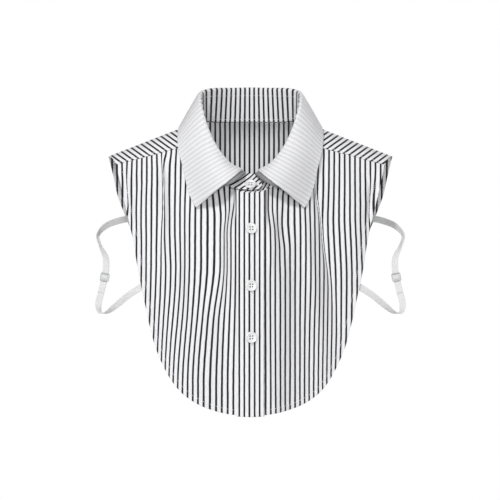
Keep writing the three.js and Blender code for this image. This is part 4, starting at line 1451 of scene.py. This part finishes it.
        # The grid's normal points into the neck
        upright = self.course(angle)[:, None] + STRIPE_START + 0 * rise
        cloth = Cloth("collar_stand", grid, upright, rise, -half, half, inner_across=outer + STRIPE_START)
        piece = link("cloth_collar_stand", cloth.mesh(), ["collar_stand"])
        piece.data.materials.append(self.finishes.bias)

    def fall_grid(self, angle: Grid, bends: int = 14, leaves: int = 46) -> Grid:
        """Lays the fall: up from the stand, round the fold and out over the shirt.

        Args:
            angle: Places round the neck, 0 at the back.
            bends: Points round the fold.
            leaves: Points down the leaf.

        Returns:
            Its middle points.
        """
        end = self.form.neck_angle_of(self.gap)
        swing = np.abs(angle) / end
        read = [column(self.FALL, k, swing)[:, None] for k in range(1, 5)]
        outward, slide, crest, roll = read
        _, up, out, _ = self.stand_frame(angle)
        rise = self.crest * crest
        radius = np.minimum(self.fold_radius, rise * 0.8)
        seat = self.stand_point(angle, np.ones_like(angle), -self.seat_depth)
        bend = seat + up * (rise - radius) + out * radius
        turns = np.linspace(0, 0.9 * math.pi, bends)[None, :, None]
        fold = bend[:, None] + radius[:, None] * (
            up[:, None] * np.sin(turns) - out[:, None] * np.cos(turns)
        )
        neck_x, neck_turn = self.form.neck_edge(angle)
        x = neck_x + np.sign(angle) * outward[:, 0] * self.spread
        edge = self.form.on(x, neck_turn + slide[:, 0] * self.drop / self.form.hang_unit, self.leaf_lift)
        facing = smooth((swing - 0.6) / 0.4)[:, None]
        away = unit(mix(out, np.array([0.0, -1.0, 0.0]), facing))
        near = self.fall_cloth / self.leaf_length * 0.5
        t = np.concatenate([np.linspace(0, 1, leaves)[1:-1], [1 - near, 1 - near * 0.4, 1 - near * 0.1, 1]])
        t = t[None, :, None]
        start = fold[:, -1:]
        leaf = mix(start, edge[:, None], t) + away[:, None] * (
            self.roll * roll[:, None] * 2.4 * t**0.7 * (1 - t) ** 1.4
        )
        return np.concatenate([seat[:, None], fold, leaf], 1)

    def build_fall(self) -> None:
        """Builds the fall: dark striped inside the neck, pale outside."""
        end = self.form.neck_angle_of(self.gap)
        u = rounded_steps(230, self.fall_length)
        angle = mix(-end, end, u)
        grid = self.fall_grid(angle)
        bends = 15
        run = distance_along(grid[:, bends + self.leaf_middle])
        run = run - np.interp(0.0, angle, run)
        down = distance_along(grid[len(u) // 2])
        swing = smooth((np.abs(angle) / end - 0.6) / 0.4)
        share = np.clip((np.arange(grid.shape[1]) - bends) / (grid.shape[1] - bends), 0, 1)
        # Behind the neck the dark cloth rolls over the crest; at the sides it stops short of it
        crest = mix(8, 5.5, smooth((np.abs(angle) / end - 0.36) / 0.08))
        outside = np.arange(grid.shape[1])[None] > crest[:, None]
        pale = run[:, None] + np.sign(angle)[:, None] * swing[:, None] * 8.0 * share[None]
        across = np.where(outside, pale, self.course(angle)[:, None] + STRIPE_START)
        thick = edge_roundness(u, self.fall_length)[:, None] * np.ones(grid.shape[1])[None]
        thick[:, -3:] = thick[:, -3:] * np.array([0.8, 0.5, 0.12])
        half = self.fall_cloth / 2 * thick
        along = np.broadcast_to(down[None], across.shape)
        tone = np.where(outside, 1.0, 0.0)
        # The grid's normal points into the neck, and to the upper side of the turned leaf
        cloth = Cloth("collar_fall", grid, across, along, -half, half, tone=tone)
        mesh = cloth.mesh()
        # The dark under side rolls out past the pale upper side at both front edges
        size = grid.shape[0] * grid.shape[1]
        points = np.zeros(size * 6)
        mesh.vertices.foreach_get("co", points)
        layers = points.reshape(2, *grid.shape)
        for end_row, next_row in ((0, 8), (-1, -9)):
            beyond = unit(grid[end_row] - grid[next_row])
            layers[0, end_row, bends:] += beyond[bends:] * self.under_roll * MM
        mesh.vertices.foreach_set("co", layers.ravel())
        piece = link("cloth_collar_fall", mesh, ["collar_fall"])
        piece.data.materials.append(self.finishes.bias)
        piece.data.materials.append(self.finishes.collar)
        tones = np.zeros(len(piece.data.vertices) * 3, np.float32)
        piece.data.attributes["cloth"].data.foreach_get("vector", tones)
        tones = tones.reshape(-1, 3)[:, 2]
        for face in piece.data.polygons:
            face.material_index = int(min(tones[i] for i in face.vertices) > 0.5)

    def build_under_edge(self, side: int) -> None:
        """Builds a grey strip beside a leaf's leading edge near the fold, shaped as the under collar's edge
        rolling out; its grey is painted shade for the shadow under the leaf.

        Args:
            side: -1 for the wearer's right, 1 for the left.
        """
        end = self.form.neck_angle_of(self.gap)
        before, edge = self.fall_grid(side * end * np.array([0.98, 1.0]))[:, 14:38]
        beyond, down = unit(edge - before), unit(np.gradient(edge, axis=0))
        inward = unit(np.cross(beyond, down))
        inward = inward * np.sign(inward[:, 1:2])
        t = np.linspace(0, 1, len(edge))
        width = mix(self.under_width[side > 0], 0.4, smooth((t - 0.35) / 0.6))[:, None]
        w = np.linspace(-2.0, 1.0, 14)
        out = np.where(w < 0, w, w * width)
        curl = self.fall_cloth + 0.15 + self.under_curl * np.maximum(w, 0) ** 2
        grid = edge[:, None] + beyond[:, None] * out[..., None] + inward[:, None] * curl[None, :, None]
        along = np.broadcast_to(np.linspace(0, 30, len(edge))[:, None], out.shape)
        cloth = Cloth("under_edge", grid, out, along, -0.35, 0.35)
        name = "right" if side < 0 else "left"
        # Painted shade: the strip's dark grey stands in for the shadow under the leaf
        piece = link(f"shade_strip_under_collar_{name}", cloth.mesh())
        piece.data.materials.append(self.finishes.under)

    def build(self) -> None:
        """Builds stand and fall."""
        self.build_stand()
        self.build_fall()
        for side in (-1, 1):
            self.build_under_edge(side)


@dataclass
class Buttons:
    """Four-hole shirt buttons, their thread and their buttonholes."""

    form: Form
    collar: Collar
    placket: Placket
    finishes: Finishes
    radius: float = 6.8
    height: float = 2.3
    hole_radius: float = 0.95
    hole_offset: float = 1.6
    seat: float = 0.4
    drops: tuple[float, ...] = (131.2, 198.6, 260.5)
    offset: float = 0.8
    neck_share: float = 0.3

    # Columns: radius and height as shares, from the back's middle over the rim to the front's middle
    PROFILE = (
        (0.0, 0.0), (0.55, 0.0), (0.8, 0.04), (0.93, 0.2), (1.0, 0.42), (1.0, 0.62), (0.97, 0.82),
        (0.9, 0.96), (0.83, 1.0), (0.76, 0.95), (0.7, 0.8), (0.64, 0.66), (0.56, 0.6), (0.3, 0.57),
        (0.0, 0.56),
    )

    def body(self) -> bpy.types.Mesh:
        """Turns one button and drills its holes.

        Returns:
            The mesh in metres, its face along +Z.
        """
        turns = 56
        angle = np.linspace(0, 2 * math.pi, turns, endpoint=False)
        rings = self.PROFILE[1:-1]
        points = [
            (r * self.radius * math.cos(a), r * self.radius * math.sin(a), h * self.height)
            for r, h in rings for a in angle
        ]
        number = np.arange(len(rings) * turns).reshape(len(rings), turns)
        after = np.roll(number, -1, 1)
        faces = _quads(number[:-1], after[:-1], after[1:], number[1:]).tolist()
        faces += [number[0][::-1].tolist(), number[-1].tolist()]
        mesh = make_mesh("button_blank", np.array(points), faces)
        blank = bpy.data.objects.new("button_blank", mesh)
        holes = bmesh.new()
        for x in (-1, 1):
            for y in (-1, 1):
                made = bmesh.ops.create_cone(
                    holes, cap_ends=True, segments=20, radius1=self.hole_radius * MM,
                    radius2=self.hole_radius * MM, depth=4 * self.height * MM,
                )
                bmesh.ops.translate(
                    holes, verts=made["verts"], vec=(x * self.hole_offset * MM, y * self.hole_offset * MM, 0)
                )
        cutter_mesh = bpy.data.meshes.new("button_holes")
        holes.to_mesh(cutter_mesh)
        holes.free()
        cutter = bpy.data.objects.new("button_holes", cutter_mesh)
        scene = bpy.context.scene.collection.objects
        scene.link(blank)
        scene.link(cutter)
        cut = blank.modifiers.new("holes", "BOOLEAN")
        cut.object, cut.operation, cut.solver = cutter, "DIFFERENCE", "EXACT"
        graph = bpy.context.evaluated_depsgraph_get()
        result = bpy.data.meshes.new_from_object(blank.evaluated_get(graph))
        for o in (blank, cutter):
            bpy.data.objects.remove(o)
        result.set_sharp_from_angle(angle=math.radians(40))
        return result

    def thread(self) -> bpy.types.Mesh:
        """Makes the sewing thread: a bundle through each hole and the shank under the button.

        Returns:
            The mesh.
        """
        parts = []
        for x in (-1, 1):
            for y in (-1, 1):
                rise = np.linspace(-self.seat, self.height * 0.5, 6)
                off = self.hole_offset
                path = np.stack([np.full(6, x * off), np.full(6, y * off), rise], -1)
                parts.append(tube(path, self.hole_radius * 0.85 * np.array([1, 1, 1, 1, 0.9, 0.5]), 12))
        post = np.stack([np.zeros(5), np.zeros(5), np.linspace(-self.seat - 0.3, 0.1, 5)], -1)
        parts.append(tube(post, np.array([1.5, 1.4, 1.4, 1.4, 1.3]), 12))
        points, faces = join(parts)
        return make_mesh("button_thread", points, faces)

    def buttonhole(self, length: float = 15.4, width: float = 2.4) -> bpy.types.Mesh:
        """Makes a buttonhole's satin-stitched rim.

        Args:
            length: Its length in mm.
            width: Its width in mm.

        Returns:
            The mesh, along Y on the plane Z = 0.
        """
        parts = []
        stitches = 46
        for side in (-1, 1):
            for y in np.linspace(-length / 2, length / 2, stitches):
                path = np.array([
                    [side * 0.25, y, -0.05], [side * 0.45, y, 0.26], [side * width * 0.42, y + 0.06, 0.26],
                    [side * width * 0.5, y + 0.06, -0.05],
                ])
                parts.append(tube(path, 0.15, 6))
        for end in (-1, 1):
            for y in np.linspace(0, 1.2, 5):
                at = end * (length / 2 + y)
                path = np.array([
                    [-width / 2, at, -0.05], [-width * 0.4, at, 0.3], [width * 0.4, at, 0.3],
                    [width / 2, at, -0.05],
                ])
                parts.append(tube(path, 0.17, 6))
        points, faces = join(parts)
        return make_mesh("buttonhole_rim", points, faces)

    def place(self, piece: bpy.types.Object, at: Grid, normal: Grid, up: Grid) -> None:
        """Moves a piece's points so that it faces out of the cloth.

        Args:
            piece: The piece, its face along +Z.
            at: Its new middle in mm.
            normal: The cloth's normal.
            up: The way that its +Y turns.
        """
        z = unit(np.asarray(normal, float))
        y = unit(up - z * float(np.dot(up, z)))
        x = np.cross(y, z)
        points = np.zeros(len(piece.data.vertices) * 3)
        piece.data.vertices.foreach_get("co", points)
        turned = points.reshape(-1, 3) @ np.stack([x, y, z]) + np.asarray(at, float) * MM
        piece.data.vertices.foreach_set("co", turned.ravel())
        piece.data.update()

    def build(self) -> None:
        """Builds the buttons on the placket and the one on the stand."""
        up = np.array([0.0, 0.0, 1.0])
        spots = []
        for i, drop in enumerate(self.drops):
            turn = self.form.turn_at(Side.FRONT, self.offset, self.form.neck_rise - drop)
            normal = self.form.normal(self.offset, turn)
            face = self.form.on(self.offset, turn, self.placket.lift + self.placket.cloth)
            spots.append((f"button_{i + 1}", face, normal, up))
        angle = np.array([-math.pi])
        _, rise, out, _ = self.collar.stand_frame(angle)
        middle = self.collar.stand_point(angle, np.array([self.neck_share]))[0]
        face = middle + out[0] * self.collar.stand_cloth / 2
        spots.append(("button_neck", face, out[0], rise[0]))
        body, thread, hole = self.body(), self.thread(), self.buttonhole()
        for name, face, normal, lengthwise in spots:
            piece = link(f"shirt_{name}", body.copy(), [name])
            piece.data.materials.clear()
            piece.data.materials.append(self.finishes.button)
            self.place(piece, face + normal * self.seat, normal, lengthwise)
            sewn = link(f"thread_{name}", thread.copy())
            # Dark grey bundles fill the holes, so the holes read dark
            sewn.data.materials.append(self.finishes.dark_hole_fill)
            self.place(sewn, face + normal * self.seat, normal, lengthwise)
            rim = link(f"buttonhole_{name}", hole.copy())
            rim.data.materials.append(self.finishes.thread)
            # The stand's hole lies along the band, and a button sits at a hole's end
            sideways = np.cross(lengthwise, normal) if name == "button_neck" else lengthwise
            slide = sideways * (1.6 if name == "button_neck" else -1.2)
            self.place(rim, face + slide, normal, sideways)


@dataclass
class Strap:
    """One elastic side strap with its tail and slider."""

    form: Form
    creases: Creases
    finishes: Finishes
    side: int
    name: str
    width: float = 8.0
    thick: float = 0.8
    top: float = 118.0
    foot: float = 200.0
    reach: float = 55.0
    sewn: float = 14.0
    gap: float = 1.0
    cloth: float = 1.0
    slider_width: float = 11.0
    slider_height: float = 10.6
    slider_thick: float = 1.2
    bar: float = 1.2
    clearance: float = 0.35
    tail: float = 12.0

    # Columns: outward share of the reach, share of the height between the ends, of the depth, roll
    COURSE = (
        (0.6, 0.045, 0.1, 15), (0.84, 0.12, 0.22, 30), (0.99, 0.25, 0.33, 62), (0.92, 0.42, 0.42, 60),
        (0.82, 0.56, 0.48, 28), (0.8, 0.7, 0.53, 4), (0.83, 0.87, 0.58, 0), (0.9, 1.07, 0.64, 0),
        (0.965, 1.27, 0.7, 12), (0.93, 1.385, 0.74, 62), (0.8, 1.39, 0.79, 112), (0.59, 1.29, 0.86, 155),
        (0.3, 1.13, 0.94, 172),
    )
    SLIDER_ROW = 6

    def __post_init__(self) -> None:
        """Lays the strap's middle line and its roll from the back panel to the front."""
        form = self.form
        edges = {side: Edge(form.outline(side)) for side in Side}
        behind = -self.cloth - self.gap - self.thick / 2

        def end(side: Side, z: float, inset: float) -> tuple[Grid, Grid]:
            """Finds a sewn end behind a panel.

            Args:
                side: Front or back.
                z: Height in mm.
                inset: How far inside the edge in mm.

            Returns:
                Point and inward normal.
            """
            x = float(edges[side].half_width(z)) - inset
            turn = form.turn_at(side, x, z)
            lift = 0.0
            if side is Side.FRONT:
                lift = float(self.creases.lift(np.array(self.side * x), np.array(z)))
            return form.on(x, turn, lift + behind), -form.normal(x, turn)

        top_z, foot_z = form.neck_rise - self.top, form.neck_rise - self.foot
        first = [end(Side.BACK, top_z, self.sewn), end(Side.BACK, top_z, 0.2 * self.sewn)]
        final = [end(Side.FRONT, foot_z, 0.0), end(Side.FRONT, foot_z + 0.55 * self.sewn, self.sewn)]
        high, low = first[1][0], final[0][0]
        course = [
            (low[0] + out * self.reach, mix(high[1], low[1], deep), mix(high[2], low[2], down))
            for out, down, deep, _ in self.COURSE
        ]
        flip = np.array([self.side, 1, 1])
        whole = (first[0][0], first[1][0], *map(np.array, course), final[0][0], final[1][0])
        points = [p * flip for p in whole]
        self.line = SmoothLine(points)
        last = len(points) - 1
        rolls = []
        for i in range(last + 1):
            if 2 <= i <= last - 2:
                rolls.append((i, self.side * self.COURSE[i - 2][3]))
                continue
            normal = (first[i][1] if i < 2 else -final[i - last + 1][1]) * flip
            face, cross, _ = self.frame(np.array([i / last]))
            angle = math.degrees(math.atan2(float(normal @ cross[0]), float(normal @ face[0])))
            rolls.append((i, angle if i < 2 else self.side * 180 + angle))
        self.rolls = tuple(rolls)
        self.last = last
        self.slider_share = (self.SLIDER_ROW + 2) / last

    def frame(self, share: Grid) -> tuple[Grid, Grid, Grid]:
        """Follows the line without its roll.

        Args:
            share: Shares of the span count.

        Returns:
            Facing, crossing and lengthwise directions.
        """
        step = 0.0005
        along = unit(self.line.at(share + step) - self.line.at(share - step))
        viewer = np.array([0.0, -1.0, 0.0])
        face = unit(viewer - along * (along @ viewer)[..., None])
        return face, np.cross(along, face), along

    def place(self, share: Grid) -> tuple[Grid, Grid, Grid]:
        """Follows the band.

        Args:
            share: Shares of the span count.

        Returns:
            Point, face normal and lengthwise direction.
        """
        face, cross, along = self.frame(share)
        roll = np.radians(column(self.rolls, 1, share * self.last))[..., None]
        return self.line.at(share), face * np.cos(roll) + cross * np.sin(roll), along

    def ribbon(self, name: str, share: Grid, lift: Grid, nodes: Sequence[str]) -> None:
        """Builds a flat band along the line at shares of it, lifted off it.

        Args:
            name: The piece's name.
            share: Places along the line.
            lift: How far the band stands off the line at each.
            nodes: The solids that it stands for.
        """
        point, normal, along = self.place(share)
        sideways = np.cross(along, normal)
        v = rounded_steps(14, self.width, 0.45)
        offset = mix(-self.width / 2, self.width / 2, v)
        grid = (point + normal * lift[:, None])[:, None] + sideways[:, None] * offset[None, :, None]
        run = distance_along(point)
        thick = edge_roundness(v, self.width, 0.45)[None] * np.ones(len(share))[:, None]
        half = self.thick / 2 * thick
        across = offset[None] * np.ones(len(share))[:, None]
        cloth = Cloth(name, grid, across, run[:, None] + 0 * across, -half, half)
        piece = link(name, cloth.mesh(), nodes)
        piece.data.materials.append(self.finishes.elastic)

    def build(self) -> None:
        """Builds the band, its tail and the slider."""
        share = np.linspace(0, 1, 420)
        middle = self.line.at(np.array([self.slider_share]))[0]
        pitch = (self.slider_height - self.bar) / 2
        lift_off = self.slider_thick / 2 + self.thick / 2 + self.clearance
        off = np.linalg.norm(self.line.at(share) - middle, axis=1)
        lift = np.where(off < pitch, lift_off * (1 + np.cos(math.pi * np.minimum(off / pitch, 1))), 0.0)
        self.ribbon(f"elastic_strap_{self.name}", share, lift, [f"strap_{self.name}"])
        start = self.slider_share + (self.slider_height / 2 + self.clearance) / self.line.length
        tail = np.linspace(start, start + self.tail / self.line.length, 24)
        behind = np.full(24, self.thick + 0.12)
        self.ribbon(f"elastic_tail_{self.name}", tail, behind, [f"strap_tail_{self.name}"])
        self.stitch_tail(tail)
        self.build_slider(lift_off)

    def stitch_tail(self, tail: Grid) -> None:
        """Sews the tail down with one row of stitches across it.

        Args:
            tail: The tail's places along the line.
        """
        at = np.array([mix(tail[0], tail[-1], 0.62)])
        point, normal, along = self.place(at)
        sideways = np.cross(along, normal)[0]
        offset = np.linspace(-self.width * 0.44, self.width * 0.44, 9)[:, None]
        path = point[0] + normal[0] * (self.thick * 1.5 + 0.16) + sideways * offset
        seam = Stitching(self.finishes, pitch=1.6, length=1.2, radius=0.16)
        seam.row(f"tail_stitches_{self.name}", path, np.broadcast_to(normal[0], path.shape), "elastic")

    def build_slider(self, lift_off: float) -> None:
        """Builds the moulded slider: a rounded frame with a middle bar.

        Args:
            lift_off: How far it stands off the line in mm.
        """
        half_w, half_h = self.slider_width / 2 - self.bar / 2, self.slider_height / 2 - self.bar / 2
        corner = 0.9
        ring = []
        for cx, cz, start in ((1, 1, 0), (-1, 1, 90), (-1, -1, 180), (1, -1, 270)):
            for a in np.radians(np.linspace(start, start + 90, 7)):
                x = cx * (half_w - corner) + corner * math.cos(a)
                ring.append((x, cz * (half_h - corner) + corner * math.sin(a), 0))
        frame_bar = tube(np.array(ring), self.bar / 2, 14, closed=True)
        t = np.linspace(-half_w, half_w, 9)
        middle_bar = tube(np.stack([t, 0 * t, 0 * t], -1), self.bar * 0.42, 14)
        points, faces = join([frame_bar, middle_bar])
        points[:, 2] *= self.slider_thick / self.bar
        point, normal, along = (a[0] for a in self.place(np.array([self.slider_share])))
        axes = np.stack([np.cross(along, normal), along, normal])
        placed = points @ axes + point + normal * lift_off
        mesh = make_mesh(f"slider_{self.name}", placed, faces)
        piece = link(f"moulded_slider_{self.name}", mesh, [f"slider_{self.name}"])
        piece.data.materials.append(self.finishes.slider)


@dataclass
class Stitching:
    """Rows of lock stitches in white thread."""

    finishes: Finishes
    pitch: float = 2.8
    length: float = 2.2
    radius: float = 0.19

    def row(self, name: str, path: Grid, normals: Grid, slot: str = "striped_cloth") -> None:
        """Sews one row along a path.

        Args:
            name: The row's name.
            path: Points on the cloth's face in mm.
            normals: The face's normals there.
            slot: Not used.
        """
        run = distance_along(path)
        count = max(int(run[-1] / self.pitch), 1)
        parts = []
        shape = np.array([-0.5, -0.36, 0.0, 0.36, 0.5])
        sink = np.array([-0.9, 0.35, 0.6, 0.35, -0.9]) * self.radius
        for i in range(count):
            centre = (i + 0.5) * self.pitch
            at = centre + shape * self.length
            points = np.stack([np.interp(at, run, path[:, k]) for k in range(3)], -1)
            out = unit(np.stack([np.interp(at, run, normals[:, k]) for k in range(3)], -1))
            parts.append(tube(points + out * sink[:, None], self.radius * np.array([0.6, 1, 1, 1, 0.6]), 6))
        points, faces = join(parts)
        piece = link(name, make_mesh(name, points, faces))
        piece.data.materials.append(self.finishes.thread)


@dataclass
class Seams:
    """All the rows of topstitching on the bib."""

    form: Form
    creases: Creases
    placket: Placket
    collar: Collar
    finishes: Finishes
    hem_inset: float = 6.0
    placket_inset: float = 1.6
    collar_inset: float = 3.0
    yoke_face: float = 1.15

    def on_front(self, x: Grid, z: Grid, lift: float) -> tuple[Grid, Grid]:
        """Returns points and normals on the front's face."""
        turn = self.form.turn_at(Side.FRONT, x, z)
        return self.form.on(x, turn, self.creases.lift(x, z) + lift), self.form.normal(x, turn)

    def inset(
        self, edge: Edge, first: float, last: float, inward: float, count: int = 160
    ) -> tuple[Grid, Grid]:
        """Lays a line inside an outline.

        Args:
            edge: The outline.
            first: Share of its length to start at.
            last: Share to end at.
            inward: How far inside in mm.
            count: Number of points.

        Returns:
            Their x and z.
        """
        share = np.linspace(first, last, count)
        place = edge.place(share)
        tangent = unit(np.gradient(place, axis=0))
        inner = np.stack([tangent[:, 1], -tangent[:, 0]], -1)
        return (place + inner * inward).T

    def build(self) -> None:
        """Sews every row."""
        sewing = Stitching(self.finishes)
        form = self.form
        share = np.linspace(0.005, 0.985, 140)
        half = self.placket.width / 2
        edge = half - self.placket_inset
        for name, x in (("right", -edge), ("left", edge)):
            path = self.placket.line(np.full_like(share, x), share, self.placket.cloth)
            normals = form.normal(np.full_like(share, x), form.turn_at(Side.FRONT, x, path[:, 2]))
            sewing.row(f"placket_stitches_{name}", path, normals)
        front = Edge(form.outline(Side.FRONT))
        for name, side, inner in (("right", -1, 16.6), ("left", 1, 16.6)):
            x, z = self.inset(front, 0.012, float(front.share_at_x(inner)), self.hem_inset)
            sewing.row(f"hem_stitches_front_{name}", *self.on_front(side * x, z, 0.04))
        back = Edge(form.outline(Side.BACK))
        first = float(back.share_at_z(form.neck_rise - form.yoke_back_depth - 2))
        x, z = self.inset(back, first, 0.5, self.hem_inset)
        x, z = np.concatenate([x, -x[::-1][1:]]), np.concatenate([z, z[::-1][1:]])
        turn = form.turn_at(Side.BACK, x, z)
        sewing.row("hem_stitches_back", form.on(x, turn, 0.3), form.normal(x, turn))
        for name, side in (("right", -1), ("left", 1)):
            x = side * np.linspace(75.0, form.arm_front_half - 1.5, 60)
            z = form.seam_z(x, -1.8)
            turn = form.turn_at(Side.FRONT, x, z)
            sewing.row(f"yoke_stitches_{name}", form.on(x, turn, self.yoke_face), form.normal(x, turn))
        x = np.linspace(-1, 1, 160) * (float(back.half_width(form.neck_rise - form.yoke_back_depth)) - 2)
        turn = form.turn_at(Side.BACK, x, form.neck_rise - form.yoke_back_depth + 1.8)
        sewing.row("yoke_stitches_back", form.on(x, turn, self.yoke_face), form.normal(x, turn))
        self.collar_rows(sewing)

    def collar_rows(self, sewing: Stitching) -> None:
        """Sews the collar's edge, and the stand's top and foot inside the neck.

        Args:
            sewing: The thread and stitch.
        """
        end = self.form.neck_angle_of(self.collar.gap)
        angle = np.linspace(-end, end, 300)
        grid = self.collar.fall_grid(angle)
        face = grid_normals(grid[:, ::-1])[:, ::-1][:, -8]
        outer = grid[:, -1] + unit(grid[:, -8] - grid[:, -1]) * self.collar_inset
        path = outer + face * (self.collar.fall_cloth / 2)
        sewing.row("collar_stitches_edge", path[6:-6], face[6:-6], "collar_cloth")
        fine = Stitching(self.finishes, radius=0.14)
        inner = np.linspace(-2.2, 2.2, 160)
        top = self.collar.stand_point(inner, np.full_like(inner, 0.94))
        _, _, out, _ = self.collar.stand_frame(inner)
        fine.row("stand_stitches_top", top - out * self.collar.stand_cloth / 2, -out)
        foot = self.collar.stand_point(inner, np.full_like(inner, 0.05))
        fine.row("stand_stitches_foot", foot - out * self.collar.stand_cloth / 2, -out)


# The studio


@dataclass
class Studio:
    """White floor, soft lights and the camera."""

    pixel: float = 1.2
    centre: tuple[float, float] = (-0.5, -112.8)
    focus_y: float = -55.0
    distance: float = 8000.0
    floor_drop: float = -520.0
    floor_radius: float = 1.5
    room_light: float = 0.35
    frame_pixels: int = 500
    sensor: float = 36.0

    # Columns: place in metres, size in metres, power in watts
    LAMPS = {
        "key": ((-1.2, -2.9, 2.7), 0.6, 124.0),
        "front": ((0.2, -3.7, 0.2), 0.8, 64.0),
        "back": ((1.4, 3.3, 1.4), 0.9, 74.0),
    }

    def build(self) -> None:
        """Sets up the studio."""
        scene = bpy.context.scene
        scene.view_settings.view_transform = "Standard"
        scene.view_settings.look = "None"
        world = bpy.data.worlds.new("studio")
        scene.world = world
        world.use_nodes = True
        tree = world.node_tree
        tree.nodes.clear()
        backdrop = add(tree, "Background", {"Color": (1, 1, 1, 1), "Strength": 1.0})
        room = add(tree, "Background", {"Color": (1, 1, 1, 1), "Strength": self.room_light})
        seen = add(tree, "LightPath", out="Is Camera Ray")
        add(tree, "OutputWorld", {0: add(tree, "MixShader", {0: seen, 1: room, 2: backdrop})})
        self.build_floor()
        for name, (at, size, power) in self.LAMPS.items():
            self.light(name, at, size, power)
        self.build_camera()

    def build_floor(self) -> None:
        """Lays a round white floor well below the bib."""
        mesh = bpy.data.meshes.new("studio_floor")
        shape = bmesh.new()
        bmesh.ops.create_circle(shape, cap_ends=True, segments=96, radius=self.floor_radius)
        shape.to_mesh(mesh)
        shape.free()
        mesh.transform(Matrix.Translation((0, 0, self.floor_drop * MM)))
        floor = bpy.data.objects.new("studio_floor", mesh)
        floor.data.materials.append(PaintedFloor().build())
        bpy.context.scene.collection.objects.link(floor)

    def light(self, name: str, at: tuple[float, float, float], size: float, power: float) -> None:
        """Adds a square soft light that faces the bib.

        Args:
            name: The lamp's name.
            at: Its place in metres.
            size: Its side in metres.
            power: Its watts.
        """
        data = bpy.data.lights.new(name, "AREA")
        data.size, data.energy = size, power
        lamp = bpy.data.objects.new(name, data)
        lamp.location = at
        aim = Vector((0, 0, -0.1)) - Vector(at)
        lamp.rotation_euler = aim.to_track_quat("-Z", "Y").to_euler()
        bpy.context.scene.collection.objects.link(lamp)

    def build_camera(self) -> None:
        """Stands a long-lens camera level in front of the bib."""
        data = bpy.data.cameras.new("camera")
        data.sensor_width = self.sensor
        data.clip_end = 100.0
        data.lens = self.sensor * self.distance / (self.frame_pixels * self.pixel)
        camera = bpy.data.objects.new("camera", data)
        x, z = self.centre
        camera.location = Vector((x, self.focus_y - self.distance, z)) * MM
        camera.rotation_euler = (math.pi / 2, 0, 0)
        bpy.context.scene.collection.objects.link(camera)
        bpy.context.scene.camera = camera


def main() -> None:
    """Builds the bib piece by piece, then the studio."""
    logging.basicConfig(level=logging.INFO, format="%(message)s")
    form = Form()
    creases = Creases(form)
    finishes = Finishes()
    Fronts(form, creases, finishes).build()
    placket = Placket(form, finishes)
    placket.build()
    Yoke(form, finishes).build()
    BackPanel(form, finishes).build()
    collar = Collar(form, finishes)
    collar.build()
    Buttons(form, collar, placket, finishes).build()
    for name, side in (("right", -1), ("left", 1)):
        Strap(form, creases, finishes, side, name).build()
    Seams(form, creases, placket, collar, finishes).build()
    Studio().build()


if __name__ == "__main__":
    main()
